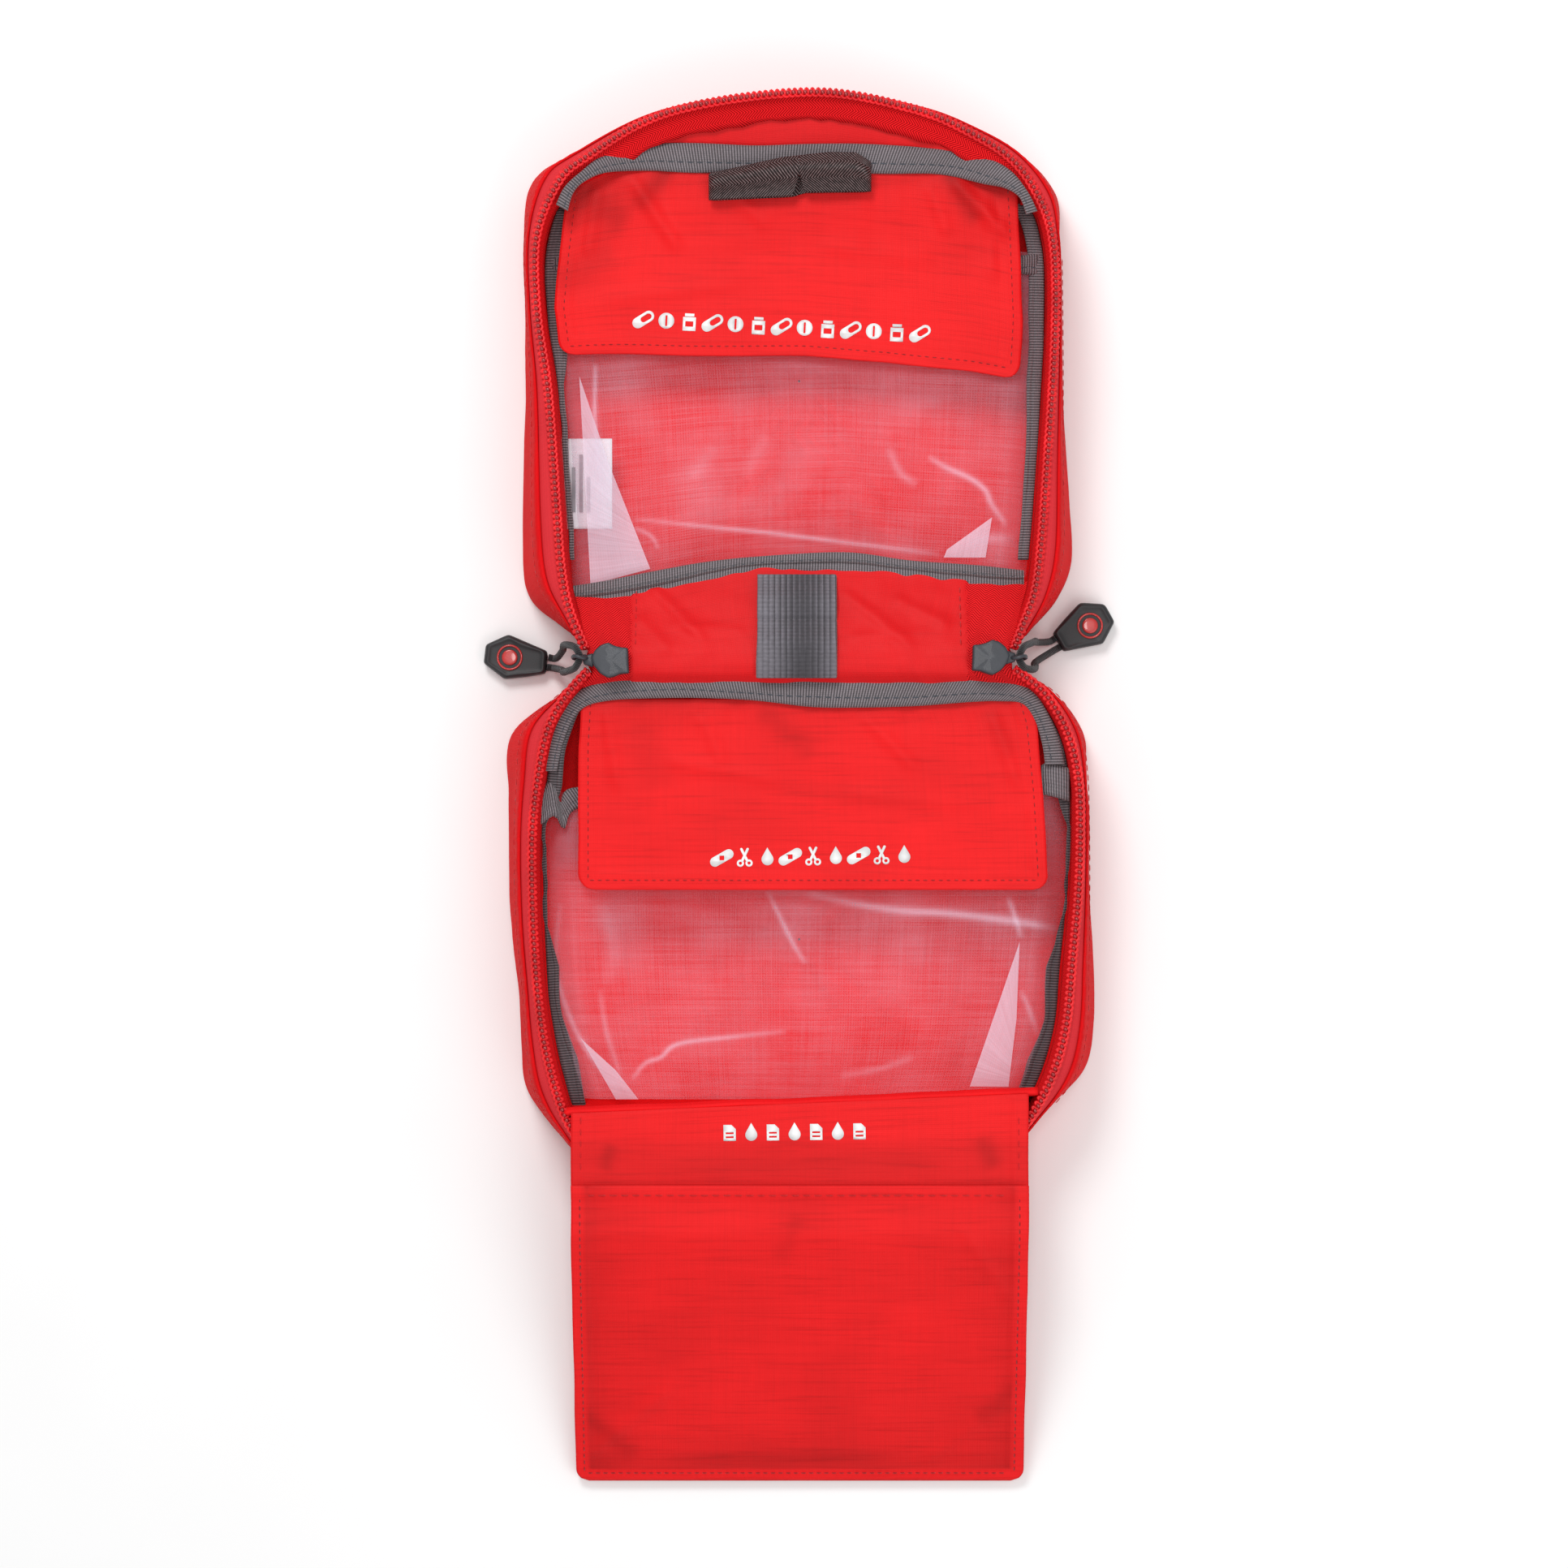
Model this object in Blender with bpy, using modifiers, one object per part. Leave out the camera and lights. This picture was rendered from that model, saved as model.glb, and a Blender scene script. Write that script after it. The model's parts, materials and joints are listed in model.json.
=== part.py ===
"""First aid kit: a soft clamshell pouch of two zipped trays, laid fully open.

Frame: metres, +Z up, +X right, +Y from the lower tray towards the upper tray (the lid).
The origin is the middle of the lower tray's underside. The lid folds about the spine line,
which lies across the kit at SPINE_Y and at the height of the two rims.
Distances "from the spine" are positive towards the lid and negative towards the lower tray.
"""

import math

import bmesh
import bpy

# Driving dimensions
SPINE_Y = 0.088  # the spine line's place in the row frame
RIM_PLANE = 0.035  # depth of one tray, so the closed kit is twice this
GAP = 0.0003  # clearance between neighbouring pieces
PANEL = 0.003  # foam-backed back panel
FABRIC = 0.0012  # modelled thickness of a doubled cloth panel
WALL = 0.0018  # gusset wall
COIL_RADIUS = 0.0011
CORD_RADIUS = 0.0011
BINDING = 0.0028  # a folded binding's thickness
WEBBING = 0.0011

# One tray's outline from the spine corner to the middle of its far end, right half: (x, from the spine)
RIM_HALF = [(0.0690, 0.0066), (0.073, 0.014), (0.077, 0.028), (0.0793, 0.052), (0.0798, 0.082),
            (0.0792, 0.110), (0.0765, 0.130), (0.072, 0.145), (0.062, 0.155), (0.038, 0.1685),
            (0.0, 0.175)]
BASE_HALF = [(0.058, 0.0095), (0.077, 0.013), (0.0845, 0.024), (0.0862, 0.052), (0.0863, 0.082),
             (0.086, 0.112), (0.084, 0.133), (0.077, 0.147), (0.065, 0.1575), (0.039, 0.1705),
             (0.0, 0.176)]
STEPS = 3  # smooth steps between two outline points
END_DIP_START = 0.130  # the rim dips from here to the far end, to let the info flap pass over it
END_DIP_LENGTH = 0.015
WALL_TOP = 0.74  # the wall's top and the zip tape's edges, as shares of the way up the lean
TAPE_LOW = 0.76
TAPE_HIGH = 0.92

# sign: which side of the spine; width: the tray's width against RIM_HALF; levels in metres
LID = {"name": "upper", "sign": 1, "width": 1.0, "dip": 0.002, "mesh_z": 0.019, "flap_z": 0.0224,
       "mesh": (0.0315, 0.122), "mesh_half": 0.076, "mouth": (0.1223, 0.1275)}
TRAY = {"name": "lower", "sign": -1, "width": 1.045, "dip": 0.0011, "mesh_z": 0.022, "flap_z": 0.027,
        "mesh": (0.047, 0.1365), "mesh_half": 0.0795, "mouth": (0.0415, 0.0467)}

STRAP_SIDES = (-0.01275, 0.0115)
SPINE_HALF = 0.0515  # half width of the cloth spine between the two sliders
FLAP_THICKNESS = 0.0015
LID_FLAP_HINGE = 0.1395
TRAY_FLAP_HINGE = 0.0173
FLAP_CORNER = 0.005

LOOP_SIDES = (-0.02775, 0.022)
LOOP_EDGE = 0.1546  # the sewn edge that the hang loop swings about
LOOP_WIDTH = 0.0123
LOOP_HEIGHT = 0.0073
LOOP_LOW = 0.0249

INFO_HALF = 0.0703
INFO_HINGE = 0.137
INFO_CREASE = 0.1765
INFO_MOUTH = 0.1635
INFO_LENGTH = 0.0875  # from the crease to the bottom hem
INFO_DROOP = math.radians(22.4)
INFO_LOW = 0.034

SLIDER_HINGE = (0.0676, 0.036)  # distance from the middle, and height, of each pull's swing axis
BAIL_RADIUS = 0.0021
BAIL_WIRE = 0.0006
GRIP_LENGTH = 0.020
GRIP_BELLY = 0.0125  # where the grip is broadest, and its badge's middle, from the cord's end of it
GRIP_THICKNESS = 0.005
GRIP_ENTRY_Z = 0.0036  # height at which the cord enters the grip
BADGE_RADIUS = 0.004
BADGE_THICKNESS = 0.0005
STRAND_SIDE = 0.0016  # each of the two strands' distance from the grip's middle line
RUN_IN = 0.0025  # straight stretch of cord before the grip

RED = ((0.72, 0.025, 0.028, 1.0), 0.6, 0.0)
TAPE_RED = ((0.55, 0.02, 0.03, 1.0), 0.8, 0.0)
GREY = ((0.165, 0.15, 0.158, 1.0), 0.8, 0.0)
MESH = ((0.87, 0.42, 0.47, 1.0), 0.5, 0.0)
BLACK = ((0.02, 0.02, 0.021, 1.0), 0.55, 0.0)
WEB_BLACK = ((0.05, 0.035, 0.035, 1.0), 0.4, 0.0)
SLATE = ((0.085, 0.09, 0.11, 1.0), 0.35, 0.3)
WHITE = ((0.85, 0.85, 0.85, 1.0), 0.7, 0.0)


def clear_scene():
    for obj in list(bpy.data.objects):
        bpy.data.objects.remove(obj, do_unlink=True)


def kit_collection():
    collection = bpy.data.collections.new("first_aid_kit")
    bpy.context.scene.collection.children.link(collection)
    return collection


def finish(obj, look, parent):
    """Gives a part its own material and hangs it, where it stands, on its joint's empty."""
    colour, roughness, metallic = look
    mat = bpy.data.materials.new(obj.name)
    mat.use_nodes = True
    shader = mat.node_tree.nodes["Principled BSDF"]
    shader.inputs["Base Color"].default_value = colour
    shader.inputs["Roughness"].default_value = roughness
    shader.inputs["Metallic"].default_value = metallic
    obj.data.materials.clear()
    obj.data.materials.append(mat)
    if obj.name not in KIT.objects:
        KIT.objects.link(obj)
    for other in list(obj.users_collection):
        if other is not KIT:
            other.objects.unlink(obj)
    if parent:
        obj.parent = parent
        obj.location = [a - b for a, b in zip(obj.location, parent.location)]
    return obj


def joint_empty(name, x, from_spine, z, tilt=0.0):
    empty = bpy.data.objects.new(name, None)
    empty.location = (x, SPINE_Y + from_spine, z)
    empty.rotation_euler = (tilt, 0, 0)
    KIT.objects.link(empty)
    return empty


def bevel(obj, width, segments=1):
    mod = obj.modifiers.new("rounded_edges", "BEVEL")
    mod.width = width
    mod.segments = segments
    mod.limit_method = "ANGLE"


def block(name, x_range, spine_range, z_range, look, parent=None, edge=0.0004):
    """A plain strip or panel between two x, two distances from the spine and two heights."""
    (x0, x1), (s0, s1), (z0, z1) = x_range, sorted(spine_range), z_range
    bm = bmesh.new()
    bmesh.ops.create_cube(bm, size=1.0)
    bmesh.ops.scale(bm, vec=(x1 - x0, s1 - s0, z1 - z0), verts=bm.verts)
    mesh = bpy.data.meshes.new(name)
    bm.to_mesh(mesh)
    bm.free()
    obj = bpy.data.objects.new(name, mesh)
    obj.location = ((x0 + x1) / 2, SPINE_Y + (s0 + s1) / 2, (z0 + z1) / 2)
    bevel(obj, edge)
    return finish(obj, look, parent)


def flat_plate(name, loops, thickness, look, parent=None, place=(0, 0, 0), turn=(0, 0, 0)):
    """A flat outline, with holes where it has more than one loop, made thick."""
    curve = bpy.data.curves.new(name, "CURVE")
    curve.dimensions = "2D"
    curve.fill_mode = "BOTH"
    curve.extrude = thickness / 2
    for loop in loops:
        spline = curve.splines.new("POLY")
        spline.points.add(len(loop) - 1)
        for point, (x, y) in zip(spline.points, loop):
            point.co = (x, y, 0, 1)
        spline.use_cyclic_u = True
    obj = bpy.data.objects.new(name, curve)
    obj.location = (place[0], SPINE_Y + place[1], place[2])
    obj.rotation_euler = turn
    return finish(obj, look, parent)


def tube(name, points, radius, look, parent=None):
    curve = bpy.data.curves.new(name, "CURVE")
    curve.dimensions = "3D"
    curve.bevel_depth = radius
    curve.bevel_resolution = 2
    curve.use_fill_caps = True
    spline = curve.splines.new("POLY")
    spline.points.add(len(points) - 1)
    origin = parent.location if parent else (0, SPINE_Y, 0)
    for point, (x, s, z) in zip(spline.points, points):
        point.co = (x - origin[0], SPINE_Y + s - origin[1], z - origin[2], 1)
    obj = bpy.data.objects.new(name, curve)
    obj.location = origin
    return finish(obj, look, parent)


def smooth(points, steps):
    """Catmull-Rom through the points, with steps stretches between two of them."""
    last = len(points) - 1
    out = []
    for i in range(last):
        span = [points[min(max(i + k, 0), last)] for k in (-1, 0, 1, 2)]
        for step in range(steps):
            t = step / steps
            out.append(tuple(
                0.5 * (2 * b + (c - a) * t + (2 * a - 5 * b + 4 * c - d) * t**2
                       + (3 * b - a - 3 * c + d) * t**3)
                for a, b, c, d in zip(*span)))
    out.append(tuple(points[-1]))
    return out


def full_outline(half, tray):
    """The whole open U of one tray, from its left spine corner round the far end to its right one."""
    right = [(x * tray["width"], s) for x, s in half]
    left = [(-x, s) for x, s in right[:-1]]
    return smooth(left + right[::-1], STEPS)


def rim_height(tray, s):
    t = min(max((s - END_DIP_START) / END_DIP_LENGTH, 0.0), 1.0)
    return RIM_PLANE - GAP - tray["dip"] * t * t * (3 - 2 * t)


def lean_point(tray, base, rim, share):
    """A point on the leaning wall, share of the way from the back panel up to the rim."""
    low = PANEL + GAP
    top = rim_height(tray, rim[1])
    x = base[0] + (rim[0] - base[0]) * share
    s = base[1] + (rim[1] - base[1]) * share
    return x, SPINE_Y + tray["sign"] * s, low + (top - low) * share


def leaning_strip(name, tray, first, last, shares, thickness, look, parent=None):
    """A stretch of the gusset between two outline points, lofted from the base up to the rim."""
    base = full_outline(BASE_HALF, tray)[first:last + 1]
    rim = full_outline(RIM_HALF, tray)[first:last + 1]
    origin = parent.location if parent else (0, 0, 0)
    bm = bmesh.new()
    rows = []
    for share in shares:
        row = []
        for b, r in zip(base, rim):
            point = lean_point(tray, b, r, share)
            row.append(bm.verts.new([a - o for a, o in zip(point, origin)]))
        rows.append(row)
    for low, high in zip(rows, rows[1:]):
        for i in range(len(low) - 1):
            corners = [low[i], low[i + 1], high[i + 1], high[i]]
            bm.faces.new(corners if tray["sign"] < 0 else corners[::-1])
    mesh = bpy.data.meshes.new(name)
    bm.to_mesh(mesh)
    bm.free()
    obj = bpy.data.objects.new(name, mesh)
    obj.location = origin
    mod = obj.modifiers.new("cloth", "SOLIDIFY")
    mod.thickness = thickness
    mod.offset = 1.0
    return finish(obj, look, parent)


def rounded_panel(x0, x1, s0, s1, corner, square_end):
    """A rectangle with two rounded corners at its free end; square_end is the sewn end's distance."""
    free = s1 if square_end == s0 else s0
    away = 1 if free > square_end else -1
    loop = [(x0, square_end), (x1, square_end)]
    for centre_x, start in ((x1 - corner, 0), (x0 + corner, 90)):
        for step in range(4):
            angle = math.radians(start + 30 * step)
            loop.append((centre_x + corner * math.cos(angle),
                         free - away * corner + away * corner * math.sin(angle)))
    return loop


def racetrack(x0, x1, z0, z1):
    """A flattened ring's outline, in x and z."""
    radius = (z1 - z0) / 2
    middle = (z0 + z1) / 2
    points = []
    for centre_x, start in ((x1 - radius, -90), (x0 + radius, 90)):
        for step in range(7):
            angle = math.radians(start + 30 * step)
            points.append((centre_x + radius * math.cos(angle), middle + radius * math.sin(angle)))
    return points


def make_shell(tray, parent):
    """Back panel, three gusset walls, zip tape and zip coil of one tray."""
    name = tray["name"]
    sign = tray["sign"]
    outline = [(x, sign * s) for x, s in full_outline(BASE_HALF, tray)]
    flat_plate(name + "_back_panel", [outline], PANEL, RED, parent, (0, 0, PANEL / 2))
    last = 2 * STEPS * (len(RIM_HALF) - 1)
    corner = 7 * STEPS
    shares = (0.0, WALL_TOP / 2, WALL_TOP)
    walls = (("_wall_left", 0, corner), ("_wall_end", corner, last - corner),
             ("_wall_right", last - corner, last))
    for suffix, first, end in walls:
        leaning_strip(name + suffix, tray, first, end, shares, WALL, RED, parent)
    leaning_strip(name + "_zip_tape", tray, 0, last, (TAPE_LOW, TAPE_HIGH), FABRIC, TAPE_RED, parent)
    rim = full_outline(RIM_HALF, tray)
    coil = [(x, sign * s, rim_height(tray, s) - COIL_RADIUS) for x, s in rim]
    tube(name + "_zip_coil", coil, COIL_RADIUS, TAPE_RED, parent)


def make_pocket(tray, parent):
    """Mesh pocket of one tray with its mouth binding and the bindings of its side seams."""
    name = tray["name"]
    sign = tray["sign"]
    half = tray["mesh_half"]
    level = tray["mesh_z"]
    block(name + "_mesh_panel", (-half, half), [sign * s for s in tray["mesh"]],
          (level, level + FABRIC), MESH, parent, 0.0003)
    block(name + "_mouth_binding", (-half, half), [sign * s for s in tray["mouth"]],
          (level - 0.0006, level + BINDING - 0.0006), GREY, parent)
    seam = [sign * s for s in (0.034, 0.124)]
    inner = half + 0.001
    for side, x_range in (("left", (-inner - 0.002, -inner)), ("right", (inner, inner + 0.002))):
        block(f"{name}_seam_binding_{side}", x_range, seam, (level - 0.001, level + 0.003), GREY, parent)


def make_spine(lid):
    """The cloth spine between the trays, its slope on the lid side, and the webbing strap over it."""
    wall_top = RIM_PLANE - 0.0055
    foot, head = 0.0115, 0.0022  # distances from the spine at the wall's foot and head
    for tray, parent in ((TRAY, None), (LID, lid)):
        sign = tray["sign"]
        length = math.hypot(wall_top - PANEL - GAP, foot - head)
        lean = math.atan2(foot - head, wall_top - PANEL - GAP)
        outline = [(-SPINE_HALF, -length / 2), (SPINE_HALF, -length / 2),
                   (SPINE_HALF, length / 2), (-SPINE_HALF, length / 2)]
        middle = (0, sign * (foot + head) / 2, (wall_top + PANEL + GAP) / 2 + 0.0004)
        flat_plate(tray["name"] + "_spine_wall", [outline], WALL, RED, parent, middle,
                   (math.pi / 2 + sign * lean, 0, 0))
    slope = math.atan2(0.0099, 0.0237)
    lining = [(-SPINE_HALF, -0.0125), (SPINE_HALF, -0.0125), (SPINE_HALF, 0.0125), (-SPINE_HALF, 0.0125)]
    flat_plate("upper_spine_lining", [lining], FABRIC, RED, lid, (0, 0.01265, 0.02785), (-slope, 0, 0))
    left, right = STRAP_SIDES
    strap = [(left, -0.0124), (right, -0.0124), (right, 0.0124), (left, 0.0124)]
    flat_plate("spine_strap_upper", [strap], WEBBING, GREY, lid, (0, 0.01285, 0.0293), (-slope, 0, 0))
    block("spine_strap_lower", STRAP_SIDES, (-0.0048, -0.0007), (0.0336, 0.0347), GREY, None, 0.0002)


def make_lid_inside(lid):
    """Bindings, flap root, end lining and care label of the lid."""
    block("upper_bottom_binding", (-0.068, 0.068), (0.0248, 0.0312), (0.0203, 0.0231), GREY, lid)
    block("upper_top_binding", (-0.054, 0.054), (0.1498, 0.1565), (0.0205, 0.0246), GREY, lid)
    level = LID["flap_z"]
    block("upper_flap_root", (-0.064, 0.064), (0.1407, 0.1495), (level, level + FLAP_THICKNESS), RED, lid,
          0.0003)
    lining = [(x * 0.93, s - 0.0035) for x, s in full_outline(RIM_HALF, LID) if s > 0.1605]
    flat_plate("upper_end_lining", [lining], FABRIC, RED, lid, (0, 0, 0.0225))
    block("care_label", (-0.075, -0.060), (0.040, 0.068), (0.0172, 0.0178), WHITE, lid, 0.0001)


def make_tray_inside():
    """Top binding of the lower tray and the gusset that carries the info flap."""
    block("lower_top_binding", (-0.0505, 0.0505), (-0.0145, -0.0051), (0.0289, 0.0317), GREY)
    block("lower_info_gusset", (-0.074, 0.074), (-0.1388, -0.1372), (PANEL + GAP, 0.0335), RED, None, 0.0003)


def make_flaps(lid_flap, tray_flap):
    """The two cloth flaps that cover the pocket mouths."""
    lid_level = LID["flap_z"]
    tray_level = TRAY["flap_z"]
    loop = rounded_panel(-0.071, 0.0675, 0.088, LID_FLAP_HINGE, FLAP_CORNER, LID_FLAP_HINGE)
    flat_plate("upper_flap_panel", [loop], FLAP_THICKNESS, RED, lid_flap,
               (0, 0, lid_level + FLAP_THICKNESS / 2))
    loop = rounded_panel(-0.068, 0.0735, -0.072, -TRAY_FLAP_HINGE, FLAP_CORNER, -TRAY_FLAP_HINGE)
    flat_plate("lower_flap_panel", [loop], FLAP_THICKNESS, RED, tray_flap,
               (0, 0, tray_level + FLAP_THICKNESS / 2))


def make_info_flap(root, pocket):
    """The fold-out info pocket: a label strip and mouth hem, then two panels below the crease."""
    low = INFO_LOW
    front = low + FABRIC + GAP
    block("info_label_strip", (-INFO_HALF, INFO_HALF), (-INFO_CREASE + GAP / 2, -INFO_HINGE - GAP),
          (low, low + FABRIC), RED, root, 0.0003)
    block("info_mouth_hem", (-INFO_HALF, INFO_HALF), (-INFO_CREASE + GAP / 2, -INFO_MOUTH),
          (front, front + FABRIC), RED, root, 0.0003)
    for name, level in (("info_back_panel", 0.0), ("info_front_panel", FABRIC + GAP)):
        loop = rounded_panel(-INFO_HALF, INFO_HALF, -INFO_LENGTH, -GAP / 2, 0.004, -GAP / 2)
        # placed in the pocket's own tilted frame, so its place is taken from the crease
        flat_plate(name, [loop], FABRIC, RED, pocket,
                   (0, pocket.location.y - SPINE_Y, pocket.location.z + level + FABRIC / 2))


def make_hang_loop(swing):
    x0, x1 = LOOP_SIDES
    top = LOOP_LOW + LOOP_HEIGHT
    outer = racetrack(x0, x1, LOOP_LOW, top)
    inner = racetrack(x0 + WEBBING, x1 - WEBBING, LOOP_LOW + WEBBING, top - WEBBING)
    flat_plate("hang_loop_webbing", [outer, inner], LOOP_WIDTH, WEB_BLACK, swing,
               (0, LOOP_EDGE - LOOP_WIDTH / 2, 0), (math.pi / 2, 0, 0))


def make_slider(side, sign):
    """Slider body: a shield outline, broad towards the spine, with a nose that holds the bail."""
    half = [(0.0525, 0.0047), (0.0570, 0.0055), (0.0605, 0.0052), (0.0632, 0.0030), (0.0646, 0.0022)]
    loop = [(sign * x, -0.001 + s) for x, s in half] + [(sign * x, -0.001 - s) for x, s in half[::-1]]
    return flat_plate(f"{side}_slider_body", [loop], 0.0062, SLATE, None, (0, 0, 0.0353))


def grip_outline():
    half = [(0.0, 0.0036), (GRIP_BELLY, 0.007), (GRIP_LENGTH, 0.0030)]
    return half + [(x, -y) for x, y in half[::-1]]


def cord_route(sign, entry, heading):
    """One pull cord: out of the grip, up to the bail, round through it, and back to the grip.

    entry is where the cord meets the grip, and heading the direction that the grip points in.
    """
    bail_x, bail_z = SLIDER_HINGE
    across = (-math.sin(heading), math.cos(heading))
    ends = [(entry[0] + k * STRAND_SIDE * across[0], entry[1] + k * STRAND_SIDE * across[1], GRIP_ENTRY_Z)
            for k in (1, -1)]
    side = 1 if ends[0][1] > ends[1][1] else -1
    ends = ends[::side]
    run_in = [(x - RUN_IN * math.cos(heading), y - RUN_IN * math.sin(heading), z + 0.0004)
              for x, y, z in ends]
    strand = [(0.0042, 0.0041, -0.0052), (0.0056, 0.0042, -0.0115), (0.0061, 0.0038, -0.0185),
              (0.0066, 0.0031, -0.0250)]
    bend = [(0.0005, 0.0016, -0.0001), (0.0018, 0.0033, -0.0018)]
    lean = entry[1] * 0.5
    there, back = [[(sign * (bail_x + out), lean * min(1.0, -down / 0.03) + k * width, bail_z + down)
                    for out, width, down in bend + strand] for k in (1, -1)]
    route = [ends[0], run_in[0]] + there[::-1] + [(sign * bail_x, 0.0, bail_z + 0.0003)]
    return smooth(route + back + [run_in[1], ends[1]], 3)


def make_pull(side, sign, entry, heading, swing):
    """Bail ring, cord loop, rubber grip and its round badge."""
    bail_x, bail_z = SLIDER_HINGE
    bpy.ops.mesh.primitive_torus_add(major_radius=BAIL_RADIUS, minor_radius=BAIL_WIRE, major_segments=16,
                                     minor_segments=8, location=(sign * bail_x, SPINE_Y, bail_z),
                                     rotation=(math.pi / 2, 0, 0))
    bail = bpy.context.object
    bail.name = f"{side}_slider_bail"
    finish(bail, SLATE, swing)
    gap = 0.0005
    start = (entry[0] + gap * math.cos(heading), entry[1] + gap * math.sin(heading))
    tube(f"{side}_pull_cord", cord_route(sign, entry, heading), CORD_RADIUS, BLACK, swing)
    flat_plate(f"{side}_pull_grip", [grip_outline()], GRIP_THICKNESS, BLACK, swing,
               (start[0], start[1], GAP + GRIP_THICKNESS / 2), (0, 0, heading))
    middle = [start[0] + GRIP_BELLY * math.cos(heading), start[1] + GRIP_BELLY * math.sin(heading)]
    disc = [(BADGE_RADIUS * math.cos(math.radians(a)), BADGE_RADIUS * math.sin(math.radians(a)))
            for a in range(0, 360, 20)]
    flat_plate(f"{side}_pull_badge", [disc], BADGE_THICKNESS, RED, swing,
               (middle[0], middle[1], GAP + GRIP_THICKNESS + GAP + BADGE_THICKNESS / 2))


def build():
    lid = joint_empty("spine_fold_axis", 0, 0, RIM_PLANE)
    lid_flap = joint_empty("upper_flap_axis", 0, LID_FLAP_HINGE, LID["flap_z"] + FLAP_THICKNESS / 2)
    tray_flap = joint_empty("lower_flap_axis", 0, -TRAY_FLAP_HINGE, TRAY["flap_z"] + FLAP_THICKNESS / 2)
    info_root = joint_empty("info_fold_axis", 0, -INFO_HINGE, RIM_PLANE)
    info_pocket = joint_empty("info_crease_axis", 0, -INFO_CREASE, INFO_LOW, INFO_DROOP)
    loop_swing = joint_empty("hang_loop_axis", 0, LOOP_EDGE, LOOP_LOW)
    make_shell(TRAY, None)
    make_shell(LID, lid)
    make_pocket(TRAY, None)
    make_pocket(LID, lid)
    make_spine(lid)
    make_lid_inside(lid)
    make_tray_inside()
    make_flaps(lid_flap, tray_flap)
    make_info_flap(info_root, info_pocket)
    make_hang_loop(loop_swing)
    pulls = (("left", -1, (-0.0793, -0.0006), math.radians(172.3)),
             ("right", 1, (0.0817, 0.0057), math.radians(29.5)))
    for side, sign, entry, heading in pulls:
        make_slider(side, sign)
        swing = joint_empty(f"{side}_pull_axis", sign * SLIDER_HINGE[0], 0, SLIDER_HINGE[1])
        make_pull(side, sign, entry, heading, swing)


clear_scene()
KIT = kit_collection()
build()
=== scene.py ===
"""Looks of the first aid kit: cloth, bindings, zips, mesh pockets, webbing, pulls, light and camera.

Local numbers are millimetres: (x, s, z), with s the distance from the spine line, positive towards
the lid. place() turns them into the row frame's metres.
"""

import json
import math

import bmesh
import bpy
import numpy as np
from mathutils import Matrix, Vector, noise
from mathutils.geometry import tessellate_polygon


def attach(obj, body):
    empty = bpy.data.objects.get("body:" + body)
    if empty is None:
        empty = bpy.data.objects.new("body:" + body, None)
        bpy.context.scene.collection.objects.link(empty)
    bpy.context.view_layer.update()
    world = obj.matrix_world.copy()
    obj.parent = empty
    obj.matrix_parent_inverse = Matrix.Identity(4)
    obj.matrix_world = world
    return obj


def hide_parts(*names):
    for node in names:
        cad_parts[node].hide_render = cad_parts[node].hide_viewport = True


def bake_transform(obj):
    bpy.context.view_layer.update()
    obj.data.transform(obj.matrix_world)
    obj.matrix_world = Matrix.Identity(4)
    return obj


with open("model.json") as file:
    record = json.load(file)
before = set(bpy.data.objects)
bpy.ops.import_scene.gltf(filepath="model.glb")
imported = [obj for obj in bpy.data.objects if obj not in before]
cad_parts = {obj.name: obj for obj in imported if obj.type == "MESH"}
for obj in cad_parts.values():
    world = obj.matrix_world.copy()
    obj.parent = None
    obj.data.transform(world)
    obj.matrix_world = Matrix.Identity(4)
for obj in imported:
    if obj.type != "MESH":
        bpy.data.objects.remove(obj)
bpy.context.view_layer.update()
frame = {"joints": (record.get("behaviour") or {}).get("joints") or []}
MM = 0.001
JOINTS = {j["name"]: j for j in frame["joints"]}
SPINE = JOINTS["spine_fold"]["pos_m"][1]
RIM = JOINTS["spine_fold"]["pos_m"][2] / MM  # height of the plane where the two rims meet
INFO_CREASE = (JOINTS["info_crease"]["pos_m"][1] - SPINE) / MM
INFO_CREASE_Z = JOINTS["info_crease"]["pos_m"][2] / MM


# ---------------------------------------------------------------- small geometry tools

def place(point):
    return (point[0] * MM, SPINE + point[1] * MM, point[2] * MM)


def unit(vectors):
    return vectors / (np.linalg.norm(vectors, axis=-1, keepdims=True) + 1e-12)


def path_run(path):
    """Distance along a path at each of its points."""
    return np.concatenate([[0], np.cumsum(np.linalg.norm(np.diff(path, axis=0), axis=1))])


def follow(x, line):
    """Read off a line through (x, value) points."""
    return np.interp(x, *np.transpose(line))


def sample(values, run, at):
    """The columns of a table, kept at distances run, read off at other distances."""
    return np.stack([np.interp(at, run, column) for column in values.T], axis=1)


def smooth(points, per_span=8):
    """Catmull-Rom through the points, as an array."""
    pts = np.array(points, float)
    padded = np.vstack([pts[:1], pts, pts[-1:]])
    out = []
    for a, b, c, d in zip(padded, padded[1:], padded[2:], padded[3:]):
        for t in np.arange(per_span) / per_span:
            out.append(0.5 * (2 * b + (c - a) * t + (2 * a - 5 * b + 4 * c - d) * t**2
                              + (3 * b - a - 3 * c + d) * t**3))
    return np.array(out + [pts[-1]])


def even(path, count):
    """The same line with count points spread evenly along it."""
    pts = np.asarray(path, float)
    run = path_run(pts)
    return sample(pts, run, np.linspace(0, run[-1], count))


def even_ring(outline, count):
    """A closed outline with count points spread evenly round it."""
    return even(outline + outline[:1], count + 1)[:-1]


def wave(x, y, scale, seed=0.0):
    """Smooth noise from -1 to 1 that repeats each run; scale is the feature size."""
    return noise.noise(Vector((x / scale + seed * 7.3, y / scale - seed * 3.1, seed)))


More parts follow.
